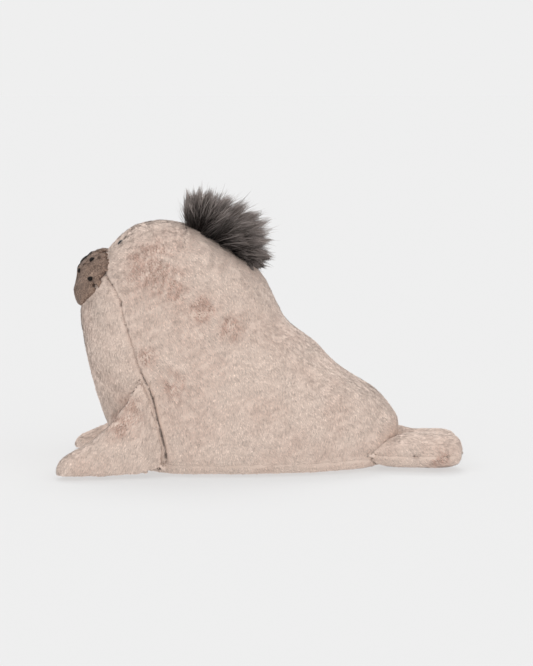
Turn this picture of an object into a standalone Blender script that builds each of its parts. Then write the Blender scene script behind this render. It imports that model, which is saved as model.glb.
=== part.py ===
"""Plush sea lion: sewn panels of plush round a fibre filling, with four flippers, a muzzle and a tuft.

Metres, +Z up. The head looks along -X and the toy's left side faces -Y. The origin is on the floor,
in the flat of the base. Every piece is worked out on the left-right symmetric surface of the body,
so a change of the body carries the flippers, muzzle, eyes and tuft with it.
"""

import functools
import itertools
import math
from collections import namedtuple

import bmesh
import bpy
from mathutils import Vector

# Cloth and sewing
SEAM_GAP = 0.0004
CLEARANCE = 0.0004
FILLING_EASE = 0.0019
FRONT_FLIPPER_EASE = 0.0014
TAIL_FLIPPER_EASE = 0.0009
BODY_CLOTH = 0.005
FLIPPER_CLOTH = 0.0026
MUZZLE_CLOTH = 0.003

# Body: one horizontal slice for each level, from the base seam up to near the crown
LEVEL_HEIGHTS = (
    0.012, 0.038, 0.057, 0.076, 0.091, 0.108, 0.129, 0.145, 0.165, 0.188, 0.210, 0.228, 0.2415,
)
LEVEL_FRONTS = (
    -0.139, -0.152, -0.159, -0.165, -0.169, -0.173, -0.177, -0.1805, -0.1795, -0.172, -0.1585, -0.143, -0.124,
)
LEVEL_BACKS = (
    0.132, 0.142, 0.134, 0.117, 0.094, 0.070, 0.050, 0.028, 0.017, 0.006, -0.015, -0.042, -0.070,
)
LEVEL_HALF_WIDTHS = (
    0.080, 0.082, 0.082, 0.081, 0.080, 0.078, 0.076, 0.074, 0.071, 0.066, 0.056, 0.041, 0.023,
)
SQUARENESS = (2.5, 2.5, 2.4, 2.4, 2.3, 2.3, 2.2, 2.2, 2.1, 2.1, 2.0, 2.0, 2.0)
TAPERS = (0.16, 0.16, 0.15, 0.14, 0.12, 0.09, 0.06, 0.04, 0.03, 0.02, 0.0, 0.0, 0.0)
Level = namedtuple("Level", "height front back half_width squareness taper")
BODY_LEVELS = tuple(
    map(Level, LEVEL_HEIGHTS, LEVEL_FRONTS, LEVEL_BACKS, LEVEL_HALF_WIDTHS, SQUARENESS, TAPERS)
)
CROWN_X = -0.098
CROWN_HEIGHT = 0.247
BASE_EDGE_INSET = 0.014

# Seam of a side panel with the chest panel, as (height, x), and the arch that closes it at the top
CHEST_SEAM = (
    (0.008, -0.091),
    (0.032, -0.094),
    (0.052, -0.099),
    (0.081, -0.106),
    (0.106, -0.118),
    (0.143, -0.130),
    (0.160, -0.135),
)
ARCH_UNDER_MUZZLE_TOP = 0.0135

# Pouch of pellets in the bottom of the body
POUCH_LENGTH = 0.150
POUCH_WIDTH = 0.096
POUCH_HEIGHT = 0.034
POUCH_X = -0.010

# Front flippers: the upper edge as (x, height), from the shoulder to the tip
SHOULDER_HEIGHT = 0.101
FRONT_EDGE = (
    (-0.118, SHOULDER_HEIGHT),
    (-0.127, 0.0815),
    (-0.136, 0.066),
    (-0.150, 0.050),
    (-0.165, 0.037),
    (-0.180, 0.0285),
    (-0.192, 0.0225),
    (-0.200, 0.0205),
)
FRONT_TIP_X = -0.200
FRONT_ROOT_THICKNESS = 0.0085
FRONT_THICKNESS = 0.034
FRONT_LIFT = 0.0008
FRONT_HEEL_LIFT = 0.006
FRONT_TIP_Y = 0.082
FRONT_ROOT_SETBACK = 0.0008

# Tail flippers
TAIL_TIP_X = 0.2025
TAIL_MIDDLE_Y = 0.0275
TAIL_SPLAY = 0.006
TAIL_ROOT_WIDTH = 0.046
TAIL_WIDTH = 0.053
TAIL_RIM_HEIGHT = 0.0165
TAIL_CROWN = 0.0205
TAIL_LIFT = 0.0008

# Muzzle, nose and whisker dots
MUZZLE_MIDDLE_HEIGHT = 0.1885
MUZZLE_WIDTH = 0.086
MUZZLE_TALL = 0.058
MUZZLE_DOME = 0.0112
MUZZLE_UPTURN = 0.15
MUZZLE_CLEFT_DEPTH = 0.0035
MUZZLE_CLEFT_WIDTH = 0.009
NOSE_WIDTH = 0.018
NOSE_TALL = 0.011
NOSE_DOME = 0.003
NOSE_RISE = 0.017
DOT_WIDTH = 0.0034
DOT_DOME = 0.0009
DOT_PLACES = ((0.0233, 0.0170), (0.0183, 0.0058), (0.0365, 0.0005))

# Eyes: a domed bead on a shank, locked by a washer inside the cloth
EYE_Y = 0.0145
EYE_ABOVE_MUZZLE = 0.0095
EYE_RADIUS = 0.0043
EYE_EDGE = 0.0008
EYE_DOME = 0.0026
EYE_SEAT = 0.004
SHANK_RADIUS = 0.0016
SHANK_LENGTH = 0.0085
WASHER_RADIUS = 0.0062
WASHER_THICKNESS = 0.0016
WASHER_EASE = 0.0012

# Tuft: a strip along the back of the crown, with locks of long pile that turn from upright to backwards
TUFT_FRONT_HEIGHT = 0.2422
TUFT_BACK_HEIGHT = 0.197
TUFT_HALF_WIDTH = 0.013
TUFT_BACKING = 0.003
TUFT_FRONT_LOCK = 0.030
TUFT_MIDDLE_LOCK = 0.044
TUFT_BACK_LOCK = 0.019
TUFT_FRONT_LEAN = -2.0
TUFT_BACK_LEAN = 72.0
TUFT_SIDE_LEAN = 42.0
TUFT_ROWS = 9
TUFT_COLUMNS = 4
TUFT_ROOT_SHARE = 0.45

# Colours (linear) with roughness
PLUSH = ((0.62, 0.51, 0.44, 1.0), 0.95)
MUZZLE_PLUSH = ((0.21, 0.15, 0.12, 1.0), 0.95)
TUFT_FUR = ((0.085, 0.068, 0.064, 1.0), 0.8)
FILLING = ((0.86, 0.86, 0.84, 1.0), 1.0)
POUCH_CLOTH = ((0.75, 0.73, 0.68, 1.0), 0.9)
EYE_BLACK = ((0.008, 0.008, 0.009, 1.0), 0.12)
WASHER_WHITE = ((0.75, 0.75, 0.72, 1.0), 0.45)
THREAD_DARK = ((0.03, 0.022, 0.018, 1.0), 0.7)

# How finely the surfaces are divided
SIDE_COLUMNS = 13
SIDE_FIXED_COLUMNS = 9
SIDE_FIXED_ANGLE = 1.95
CHEST_COLUMNS = 6
BODY_ROWS = 19
LOOP_COLUMNS = 13
POUCH_COLUMNS = 9
ARCH_TURNS = (15, 35, 55, 72, 84, 90)
FLIPPER_ROWS = (0.0, 0.1, 0.25, 0.45, 0.65, 0.8, 0.9, 0.97, 1.0)
FLIPPER_COLUMNS = 9
FILLING_START = 0.10
MUZZLE_COLUMNS = 20
TURNED_SIDES = 12
THREAD_SIDES = 10


def spline(points, at):
    """A smooth curve through points, read at a place counted in points from the first."""
    last = len(points) - 1
    i = min(max(int(at), 0), last - 1)
    t = at - i
    before = points[max(i - 1, 0)]
    after = points[min(i + 2, last)]
    value = []
    for p0, p1, p2, p3 in zip(before, points[i], points[i + 1], after):
        m1 = (p2 - p0) / 2 if i > 0 else p2 - p1
        m2 = (p3 - p1) / 2 if i < last - 1 else p2 - p1
        start = (2 * t**3 - 3 * t**2 + 1) * p1 + (t**3 - 2 * t**2 + t) * m1
        end = (3 * t**2 - 2 * t**3) * p2 + (t**3 - t**2) * m2
        value.append(start + end)
    return value


def solve(low, high, above):
    """The place between low and high where above(place) turns true."""
    for _ in range(32):
        middle = (low + high) / 2
        if above(middle):
            high = middle
        else:
            low = middle
    return (low + high) / 2


def curve_at(points, place):
    """The second value of a list of (place, value) at a place, smoothly, held at the ends."""
    rising = points[-1][0] > points[0][0]
    last = len(points) - 1
    at = solve(0.0, last, lambda t: (spline(points, t)[0] > place) == rising)
    return spline(points, at)[1]


def mirrored(level):
    """The level as met on the far side of the crown, which keeps the crown round."""
    return level._replace(front=level.back, back=level.front, half_width=-level.half_width)


BODY_CURVE = BODY_LEVELS + (
    Level(CROWN_HEIGHT, CROWN_X, CROWN_X, 0.0, 2.0, 0.0),
    mirrored(BODY_LEVELS[-1]),
)
CROWN_AT = len(BODY_LEVELS)
BASE_HEIGHT = BODY_LEVELS[0].height
MUZZLE_TOP = MUZZLE_MIDDLE_HEIGHT + MUZZLE_TALL / 2
ARCH_TOP = MUZZLE_TOP - ARCH_UNDER_MUZZLE_TOP
EYE_HEIGHT = MUZZLE_TOP + EYE_ABOVE_MUZZLE


@functools.lru_cache(maxsize=None)
def body_level(at):
    return Level(*spline(BODY_CURVE, at))


@functools.lru_cache(maxsize=None)
def at_height(z):
    """The place along the body's levels that lies at height z."""
    return solve(0.0, CROWN_AT, lambda t: body_level(t).height > z)


def slice_point(level, angle):
    """A point of a slice. Angle 0 is the back, pi the front, and y is positive."""
    middle = (level.front + level.back) / 2
    reach = (level.back - level.front) / 2
    c = math.cos(angle)
    along = math.copysign(abs(c) ** (2 / level.squareness), c)
    across = abs(math.sin(angle)) ** (2 / level.squareness)
    y = level.half_width * across * (1 - level.taper * along)
    return Vector((middle + reach * along, y, level.height))


def angle_at_x(level, x):
    """The angle at which a slice passes x."""
    middle = (level.front + level.back) / 2
    reach = max((level.back - level.front) / 2, 1e-6)
    along = min(max((x - middle) / reach, -1.0), 1.0)
    return math.acos(math.copysign(abs(along) ** (level.squareness / 2), along))


def end_angle(level, y, end):
    """The angle at which a slice passes half width y, towards its front or its back."""
    if end == "front":
        return solve(math.pi / 2, math.pi, lambda a: slice_point(level, a).y < y)
    return solve(0.0, math.pi / 2, lambda a: slice_point(level, a).y > y)


def body_x(y, z, end):
    """The x of the body's front or back at a half width and a height."""
    level = body_level(at_height(max(z, BASE_HEIGHT)))
    return slice_point(level, end_angle(level, abs(y), end)).x


def body_y(x, z):
    """The body's half width at x and a height."""
    level = body_level(at_height(max(z, BASE_HEIGHT)))
    return slice_point(level, angle_at_x(level, x)).y


def body_normal(at, angle):
    """The body's outward normal, on the y-positive half."""
    if at > CROWN_AT - 0.01:
        return Vector((0, 0, 1))
    step = 0.02
    lower = slice_point(body_level(max(at - step, 0.0)), angle)
    upper = slice_point(body_level(at + step), angle)
    first = slice_point(body_level(at), abs(angle - step))
    second = slice_point(body_level(at), math.pi - abs(math.pi - angle - step))
    if angle < step:
        first.y = -first.y
    if angle > math.pi - step:
        second.y = -second.y
    return (upper - lower).cross(second - first).normalized() * -1


def surface_frame(y, z, end):
    """A point of the body's front or back with its outward normal, on either side."""
    at = at_height(z)
    angle = end_angle(body_level(at), abs(y), end)
    point = slice_point(body_level(at), angle)
    normal = body_normal(at, angle)
    side = 1 if y >= 0 else -1
    return Vector((point.x, y, z)), Vector((normal.x, side * normal.y, normal.z))


def material(name, finish):
    made = bpy.data.materials.new(name)
    made.use_nodes = True
    shader = made.node_tree.nodes["Principled BSDF"]
    shader.inputs["Base Color"].default_value = finish[0]
    shader.inputs["Roughness"].default_value = finish[1]
    shader.inputs["Metallic"].default_value = 0.0
    made.diffuse_color = finish[0]
    return made


def add_object(name, bm, finish, collection):
    """A closed bmesh as an object, welded and facing out."""
    bmesh.ops.remove_doubles(bm, verts=bm.verts, dist=2e-6)
    bmesh.ops.dissolve_degenerate(bm, edges=bm.edges, dist=2e-6)
    bmesh.ops.recalc_face_normals(bm, faces=bm.faces)
    mesh = bpy.data.meshes.new(name)
    bm.to_mesh(mesh)
    bm.free()
    mesh.shade_smooth()
    mesh.set_sharp_from_angle(angle=math.radians(50))
    made = bpy.data.objects.new(name, mesh)
    if finish is not None:
        made.data.materials.append(finish)
    collection.objects.link(made)
    return made


def add_grid(bm, rows):
    """Quads between rows of points, and the outer loop of the grid."""
    made = [[bm.verts.new(point) for point in row] for row in rows]
    for lower, upper in zip(made, made[1:]):
        for i in range(len(lower) - 1):
            bm.faces.new((lower[i], lower[i + 1], upper[i + 1], upper[i]))
    right = [row[-1] for row in made[1:-1]]
    left = [row[0] for row in made[1:-1]]
    return made[0] + right + made[-1][::-1] + left[::-1]


def shell(outer_rows, inner_rows):
    """A wall between two grids of points, closed round their rims."""
    bm = bmesh.new()
    outer = add_grid(bm, outer_rows)
    inner = add_grid(bm, inner_rows)
    for i in range(len(outer)):
        j = (i + 1) % len(outer)
        bm.faces.new((outer[i], outer[j], inner[j], inner[i]))
    return bm


def lathe(rings, bottom=None, top=None):
    """A closed body of rings of points, ended by a point or, without one, by a flat face."""
    bm = bmesh.new()
    loops = [[bm.verts.new(point) for point in ring] for ring in rings]
    count = len(loops[0])
    for lower, upper in zip(loops, loops[1:]):
        for i in range(count):
            j = (i + 1) % count
            bm.faces.new((lower[i], lower[j], upper[j], upper[i]))
    for loop, point in ((loops[0], bottom), (loops[-1], top)):
        if point is None:
            bm.faces.new(loop)
            continue
        end = bm.verts.new(point)
        for i in range(count):
            bm.faces.new((end, loop[i], loop[(i + 1) % count]))
    return bm


def body_rows(arch_top):
    """Places along the body's levels, evenly spread up its back, with the chest's arch set finely."""
    fine = [CROWN_AT * i / 400 for i in range(401)]
    lengths = [0.0]
    for a, b in zip(fine, fine[1:]):
        step = slice_point(body_level(b), 0.0) - slice_point(body_level(a), 0.0)
        lengths.append(lengths[-1] + step.length)
    rows = []
    for i in range(BODY_ROWS + 1):
        wanted = lengths[-1] * i / BODY_ROWS
        rows.append(fine[min(range(401), key=lambda j: abs(lengths[j] - wanted))])
    foot = CHEST_SEAM[-1][0]
    arch = [at_height(foot)]
    for turn in ARCH_TURNS:
        arch.append(at_height(foot + (arch_top - foot) * math.sin(math.radians(turn))))
    kept = [row for row in rows if row < arch[0] - 0.15 or row > arch[-1] + 0.15]
    lifted = at_height(BASE_HEIGHT + SEAM_GAP)
    return sorted([max(row, lifted) for row in kept] + arch)


def seam_angle(level, shift, arch_top):
    """The angle of the chest seam on a slice, moved back by shift, and pi above the arch."""
    foot = CHEST_SEAM[-1][0]
    if level.height <= foot:
        return angle_at_x(level, curve_at(CHEST_SEAM, level.height) + shift)
    if level.height >= arch_top - 1e-6:
        return math.pi
    start = body_level(at_height(foot))
    opening = math.pi - angle_at_x(start, CHEST_SEAM[-1][1] + shift)
    rise = (level.height - foot) / (arch_top - foot)
    return math.pi - opening * math.sqrt(1 - rise**2)


def place(at, angle, depth, side):
    """A point of the body, depth under its surface, on the given side."""
    point = slice_point(body_level(at), angle) - body_normal(at, angle) * depth
    lowest = BASE_HEIGHT + SEAM_GAP
    return Vector((point.x, side * max(point.y, 0.0), max(point.z, lowest)))


def side_angles(front):
    """The angles of a side panel's columns: fixed ones, then those that spread out to its front edge."""
    angles = [SIDE_FIXED_ANGLE * i / SIDE_FIXED_COLUMNS for i in range(SIDE_FIXED_COLUMNS)]
    free = SIDE_COLUMNS - SIDE_FIXED_COLUMNS
    spread = front - SIDE_FIXED_ANGLE
    return angles + [SIDE_FIXED_ANGLE + spread * i / free for i in range(free + 1)]


def side_panel(side):
    """One side of the body, from the centre seam of the back round to the chest seam."""
    grids = []
    arch_top = ARCH_TOP + SEAM_GAP / 2
    for depth in (0.0, BODY_CLOTH):
        rows = []
        for at in body_rows(arch_top):
            front = seam_angle(body_level(at), SEAM_GAP / 2, arch_top)
            row = [place(at, angle, depth, side) for angle in side_angles(front)]
            rows.append([point + Vector((0, side * SEAM_GAP / 2, 0)) for point in row])
        grids.append(rows)
    return shell(*grids)


def chest_panel():
    """The chest, from one side seam to the other, closed by the arch under the muzzle."""
    grids = []
    arch_top = ARCH_TOP - SEAM_GAP / 2
    for depth in (0.0, BODY_CLOTH):
        rows = []
        for at in body_rows(arch_top):
            level = body_level(at)
            if level.height > arch_top + 1e-5:
                continue
            opening = math.pi - seam_angle(level, -SEAM_GAP / 2, arch_top)
            row = []
            for i in range(-CHEST_COLUMNS, CHEST_COLUMNS + 1):
                angle = math.pi - opening * abs(i) / CHEST_COLUMNS
                row.append(place(at, angle, depth, 1 if i > 0 else -1))
            rows.append(row)
        grids.append(rows)
    return shell(*grids)


def loop_angles(count):
    """(side, angle) all round a slice, from the back over the right side."""
    angles = [(1, math.pi * i / count) for i in range(count)]
    return angles + [(-1, math.pi - math.pi * i / count) for i in range(count)]


def base_ring(inset, height):
    """The base seam's loop, drawn in by inset, at a height."""
    level = BODY_LEVELS[0]
    drawn = level._replace(
        height=height,
        front=level.front + inset,
        back=level.back - inset,
        half_width=level.half_width - inset,
    )
    ring = []
    for side, angle in loop_angles(LOOP_COLUMNS):
        point = slice_point(drawn, angle)
        ring.append(Vector((point.x, side * point.y, height)))
    return ring


def base_rings(depth, rim_height):
    """Rings of the base from its rim to its flat, depth inside its outer face."""
    rings = []
    for turn in (0.0, 0.35, 0.7, 1.0):
        around = turn * math.pi / 2
        inset = BASE_EDGE_INSET - (BASE_EDGE_INSET - depth) * math.cos(around)
        height = BASE_HEIGHT - (BASE_HEIGHT - depth) * math.sin(around)
        rings.append(base_ring(inset, min(height, rim_height)))
    return rings


def base_panel():
    """The base: a shallow dish of cloth with its flat on the floor."""
    rim = BASE_HEIGHT - SEAM_GAP / 2
    outer = base_rings(0.0, rim)
    inner = base_rings(BODY_CLOTH, rim)
    return lathe(outer[::-1] + inner)


def pouch_ring(share, height):
    """A ring of the pouch's ellipse, at a share of its size."""
    ring = []
    for side, angle in loop_angles(POUCH_COLUMNS):
        x = POUCH_X + share * (POUCH_LENGTH / 2) * math.cos(angle)
        y = side * share * (POUCH_WIDTH / 2) * math.sin(angle)
        ring.append(Vector((x, y, height)))
    return ring


def pellet_pouch():
    """A flat-bottomed pillow of pellets that lies on the base panel."""
    floor = BODY_CLOTH + CLEARANCE
    rings = [pouch_ring(0.93, floor)]
    for turn in (15, 35, 55, 75):
        around = math.radians(turn)
        rings.append(pouch_ring(math.cos(around), floor + POUCH_HEIGHT * math.sin(around)))
    return lathe(rings, top=Vector((POUCH_X, 0, floor + POUCH_HEIGHT)))


def pouch_hollow():
    """The space that the pouch takes in the filling, as a cutter."""
    floor = BODY_CLOTH + CLEARANCE
    grown = 1 + 4 * CLEARANCE / POUCH_HEIGHT
    rings = [pouch_ring(grown, floor - BODY_CLOTH)]
    for turn in (15, 35, 55, 75):
        around = math.radians(turn)
        height = floor + grown * POUCH_HEIGHT * math.sin(around) + CLEARANCE
        rings.append(pouch_ring(grown * math.cos(around), height))
    return lathe(rings, top=Vector((POUCH_X, 0, floor + grown * POUCH_HEIGHT + CLEARANCE)))


def body_filling():
    """The fibre filling: the body drawn in by the cloth."""
    depth = BODY_CLOTH + FILLING_EASE
    rings = base_rings(depth, BASE_HEIGHT)[::-1][:-1]
    for at in body_rows(ARCH_TOP)[:-1]:
        level = body_level(at)
        if level.height > CROWN_HEIGHT - depth:
            break
        rings.append([place(at, angle, depth, side) for side, angle in loop_angles(LOOP_COLUMNS)])
    return lathe(rings, top=Vector((CROWN_X, 0, CROWN_HEIGHT - depth - CLEARANCE)))


def round_end(share, start):
    """How a flipper narrows to its round tip, from 1 at start to 0 at its end."""
    if share <= start:
        return 1.0
    return math.sqrt(max(1 - ((share - start) / (1 - start)) ** 2, 0.0))


def front_section(p, depth):
    """Top, bottom and half thickness of a front flipper at a share p of its length."""

    def edge_x(z):
        root = curve_at(CHEST_SEAM, z) - FRONT_ROOT_SETBACK
        return root + (FRONT_TIP_X - root) * p

    top = solve(0.0, SHOULDER_HEIGHT, lambda z: curve_at(FRONT_EDGE, edge_x(z)) < z)
    end = round_end(p, 0.86)
    low = FRONT_LIFT + FRONT_HEEL_LIFT * max(1 - p / 0.3, 0.0)
    middle = (top + low) / 2
    half = (top - low) / 2 * (0.25 + 0.75 * end) * (end > 0)
    swell = math.sin(math.pi * min(p / 0.7, 1.0) / 2)
    root = FRONT_ROOT_THICKNESS / 2
    thick = (root + (FRONT_THICKNESS / 2 - root) * swell) * end
    return middle * (0.55 + 0.45 * end), max(half - depth, 0.0), max(thick - depth, 0.0)


def front_point(p, turn, depth, side, gap):
    """A point of a front flipper. turn is 0 at the upper rim, pi at the lower, and less than pi outside."""
    middle, half, thick = front_section(p, depth)
    z = max(middle + half * math.cos(turn), FRONT_LIFT + depth)
    bulge = math.copysign(abs(math.sin(turn)) ** 0.8, math.sin(turn))
    root_x = curve_at(CHEST_SEAM, z) - FRONT_ROOT_SETBACK
    root_y = body_y(root_x, z) + FRONT_ROOT_THICKNESS / 2 + CLEARANCE
    tip_x = FRONT_TIP_X + depth
    x = root_x + (tip_x - root_x) * p
    y = root_y + (FRONT_TIP_Y - root_y) * p + thick * bulge + gap
    return Vector((x, side * y, z))


def tail_point(p, turn, depth, side, gap):
    """A point of a tail flipper. turn is 0 at the outer rim, pi at the inner, and less than pi above."""
    end = round_end(p, 0.72)
    width = (TAIL_ROOT_WIDTH + (TAIL_WIDTH - TAIL_ROOT_WIDTH) * min(p / 0.6, 1.0)) / 2 * end
    bulge = abs(math.sin(turn)) ** 0.85
    height = TAIL_CROWN if math.sin(turn) > 0 else TAIL_RIM_HEIGHT - TAIL_LIFT
    rise = max(height * (0.3 + 0.7 * end) * (end > 0) - depth, 0.0) * bulge
    z = TAIL_RIM_HEIGHT + math.copysign(rise, math.sin(turn)) + gap
    y = TAIL_MIDDLE_Y + TAIL_SPLAY * p**2 + max(width - depth, 0.0) * math.cos(turn)
    root_x = body_x(y, z, "back") + CLEARANCE
    tip_x = TAIL_TIP_X - depth
    return Vector((root_x + (tip_x - root_x) * p, side * y, z))


def flipper_panel(point, cloth, side, face):
    """One panel of a flipper, face 1 outside or above and -1 inside or below."""
    grids = []
    for depth in (0.0, cloth):
        rows = []
        for p in FLIPPER_ROWS:
            row = []
            for i in range(FLIPPER_COLUMNS + 1):
                turn = face * math.pi * (i / FLIPPER_COLUMNS)
                row.append(point(p, turn, depth, side, face * SEAM_GAP / 2))
            rows.append(row)
        grids.append(rows)
    return shell(*grids)


def flipper_filling(point, depth, side):
    """The filling of a flipper at a depth inside it, from a little way off the body to its tip."""
    turns = [2 * math.pi * i / (2 * FLIPPER_COLUMNS) for i in range(2 * FLIPPER_COLUMNS)]
    shares = [max(p, FILLING_START) for p in FLIPPER_ROWS[:-1]]
    rings = [[point(p, turn, depth, side, 0.0) for turn in turns] for p in shares]
    root = (rings[0][0] + rings[0][FLIPPER_COLUMNS]) / 2
    inward = (rings[1][0] - rings[0][0]) * FILLING_START
    tip = sum(rings[-1], Vector()) / len(turns)
    ahead = Vector((math.copysign(CLEARANCE, tip.x), 0, 0))
    return lathe(rings, bottom=root + inward, top=tip + ahead)


def muzzle_point(y, z, height):
    """A point over the body's face, height out from it and a little upwards."""
    base = Vector((body_x(y, z, "front"), y, z))
    return base + Vector((-1, 0, MUZZLE_UPTURN)) * height


def muzzle_height(y, z):
    """How far the muzzle's dome stands out at a place of the face."""
    share = math.hypot(y / (MUZZLE_WIDTH / 2), (z - MUZZLE_MIDDLE_HEIGHT) / (MUZZLE_TALL / 2))
    dome = (MUZZLE_DOME - MUZZLE_CLOTH) * max(1 - share**2.4, 0.0) ** 0.6
    low = min(max((MUZZLE_MIDDLE_HEIGHT + NOSE_RISE / 3 - z) / (MUZZLE_TALL / 4), 0.0), 1.0)
    cleft = MUZZLE_CLEFT_DEPTH * math.exp(-((y / MUZZLE_CLEFT_WIDTH) ** 2)) * low
    return MUZZLE_CLOTH + max(dome - cleft * min(dome / MUZZLE_CLEFT_DEPTH, 1.0), 0.0)


def muzzle_ring(share, lift):
    """A ring of the muzzle, where lift gives the height out from the face at a place."""
    ring = []
    for i in range(MUZZLE_COLUMNS):
        around = 2 * math.pi * i / MUZZLE_COLUMNS
        y = share * MUZZLE_WIDTH / 2 * math.cos(around)
        z = MUZZLE_MIDDLE_HEIGHT + share * MUZZLE_TALL / 2 * math.sin(around)
        ring.append(muzzle_point(y, z, lift(y, z)))
    return ring


def muzzle_middle(lift):
    """The middle point of the muzzle, lifted as a ring is."""
    return muzzle_point(0.0, MUZZLE_MIDDLE_HEIGHT, lift(0.0, MUZZLE_MIDDLE_HEIGHT))


def muzzle_panel():
    """The muzzle's cloth, domed over its filling and sewn down round its rim."""
    shares = (0.25, 0.5, 0.7, 0.85, 0.95, 1.0)

    def inner(y, z):
        return CLEARANCE + max(muzzle_height(y, z) - MUZZLE_CLOTH, 0.0)

    rings = [muzzle_ring(share, inner) for share in shares]
    rings += [muzzle_ring(share, muzzle_height) for share in shares[::-1]]
    return lathe(rings, muzzle_middle(inner), muzzle_middle(muzzle_height))


def muzzle_filling():
    """A pad of filling between the face and the muzzle's cloth."""

    def under(y, z):
        return 2 * CLEARANCE

    def over(y, z):
        return max(muzzle_height(y, z) - MUZZLE_CLOTH - 2 * CLEARANCE, 3 * CLEARANCE)

    rings = [muzzle_ring(share, under) for share in (0.25, 0.5, 0.7)]
    rings += [muzzle_ring(share, over) for share in (0.7, 0.5, 0.25)]
    return lathe(rings, muzzle_middle(under), muzzle_middle(over))


def muzzle_stitching(y, z, width, tall, dome):
    """A raised patch of thread on the muzzle at y, z."""
    seat = 2 * CLEARANCE
    rings = []
    for share, rise in ((1.0, 0.0), (0.9, 0.5), (0.55, 0.85)):
        ring = []
        for i in range(THREAD_SIDES):
            around = 2 * math.pi * i / THREAD_SIDES
            at_y = y + share * width / 2 * math.cos(around)
            at_z = z + share * tall / 2 * math.sin(around)
            ring.append(muzzle_point(at_y, at_z, muzzle_height(at_y, at_z) + seat + dome * rise))
        rings.append(ring)
    level = muzzle_height(y, z) + seat
    return lathe(rings, muzzle_point(y, z, level), muzzle_point(y, z, level + dome))


def spun_rings(profile, origin, axis):
    """A ring of points about an axis for each (radius, height) of a profile."""
    turn = Vector((0, 0, 1)).rotation_difference(axis).to_matrix()
    rings = []
    for radius, height in profile:
        ring = []
        for k in range(TURNED_SIDES):
            around = 2 * math.pi * k / TURNED_SIDES
            spoke = Vector((radius * math.cos(around), radius * math.sin(around), height))
            ring.append(origin + turn @ spoke)
        rings.append(ring)
    return rings


def eye_seat(side):
    """The point of the face where an eye sits, with the way it looks."""
    return surface_frame(side * EYE_Y, EYE_HEIGHT, "front")


def eye_bead(side):
    """The domed bead with its shank, sunk in the pile."""
    origin, axis = eye_seat(side)
    seat = CLEARANCE - EYE_SEAT
    profile = [(SHANK_RADIUS, seat - SHANK_LENGTH), (SHANK_RADIUS, seat), (EYE_RADIUS, seat)]
    for turn in (20, 45, 70):
        around = math.radians(turn)
        height = seat + EYE_EDGE + EYE_DOME * math.sin(around)
        profile.append((EYE_RADIUS * math.cos(around), height))
    top = origin + axis * (seat + EYE_EDGE + EYE_DOME)
    return lathe(spun_rings(profile, origin, axis), top=top)


def washer_profile(grown):
    """The front, back and radius of the washer behind the cloth, with its space grown."""
    front = -BODY_CLOTH - WASHER_EASE
    back = front - WASHER_THICKNESS
    return front + grown, back - grown, WASHER_RADIUS + grown


def lock_washer(side):
    """The ring pushed on the shank behind the cloth."""
    front, back, radius = washer_profile(0.0)
    bore = SHANK_RADIUS + CLEARANCE
    profile = ((bore, back), (radius, back), (radius, front), (bore, front), (bore, back))
    bm = bmesh.new()
    for lower, upper in itertools.pairwise(spun_rings(profile, *eye_seat(side))):
        add_grid(bm, (lower + lower[:1], upper + upper[:1]))
    return bm


def eye_recess(side):
    """The cutter for a bead's seat in the pile and for its shank's hole."""
    bore = SHANK_RADIUS + CLEARANCE
    seat = EYE_RADIUS + CLEARANCE
    profile = ((bore, -2 * BODY_CLOTH), (bore, -EYE_SEAT), (seat, -EYE_SEAT), (seat, BODY_CLOTH))
    return lathe(spun_rings(profile, *eye_seat(side)))


def washer_pocket(side):
    """The cutter for a washer and the end of its shank, in the filling."""
    _, back, radius = washer_profile(CLEARANCE)
    bore = SHANK_RADIUS + CLEARANCE
    end = -EYE_SEAT - SHANK_LENGTH - CLEARANCE
    profile = ((bore, end), (bore, back), (radius, back), (radius, BODY_CLOTH))
    return lathe(spun_rings(profile, *eye_seat(side)))


def tuft_root(share, across, lift):
    """A point over the back of the crown, share from the tuft's front to its back, with its lock's way."""
    z = TUFT_FRONT_HEIGHT + (TUFT_BACK_HEIGHT - TUFT_FRONT_HEIGHT) * share**1.35
    y = across * TUFT_HALF_WIDTH
    base, normal = surface_frame(y, z, "back")
    lean = math.radians(TUFT_FRONT_LEAN + (TUFT_BACK_LEAN - TUFT_FRONT_LEAN) * share)
    tilt = math.radians(TUFT_SIDE_LEAN) * across
    way = Vector((math.sin(lean) * math.cos(tilt), math.sin(tilt), math.cos(lean) * math.cos(tilt)))
    return base + normal * lift, way


def tuft_lock(share):
    """The length of a lock: longest in the middle."""
    first, last = TUFT_FRONT_LOCK, TUFT_BACK_LOCK
    bow = TUFT_MIDDLE_LOCK - (first + last) / 2
    return first + (last - first) * share + bow * math.sin(math.pi * share)


def tuft():
    """The strip with its pile: a grid with a peak for each lock, over a second grid on the crown."""
    rows, columns = 2 * TUFT_ROWS, 2 * TUFT_COLUMNS
    under, over = [], []
    for i in range(rows + 1):
        share = i / rows
        lower, upper = [], []
        for j in range(columns + 1):
            across = 2 * j / columns - 1
            lower.append(tuft_root(share, across, CLEARANCE)[0])
            point, way = tuft_root(share, across, CLEARANCE + TUFT_BACKING)
            at_rim = i in (0, rows) or j in (0, columns)
            peak = i % 2 == 1 and j % 2 == 1
            reach = 0.0 if at_rim else tuft_lock(share) * (1.0 if peak else TUFT_ROOT_SHARE)
            upper.append(point + way * reach)
        under.append(lower)
        over.append(upper)
    return shell(over, under)


def cut(piece, cutter_bm, name, cutters):
    """Takes a cutter out of a piece, exactly."""
    cutter = add_object(name, cutter_bm, None, cutters)
    cutter.hide_render = True
    cutter.display_type = "WIRE"
    boolean = piece.modifiers.new(name, "BOOLEAN")
    boolean.operation = "DIFFERENCE"
    boolean.solver = "EXACT"
    boolean.object = cutter


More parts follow.
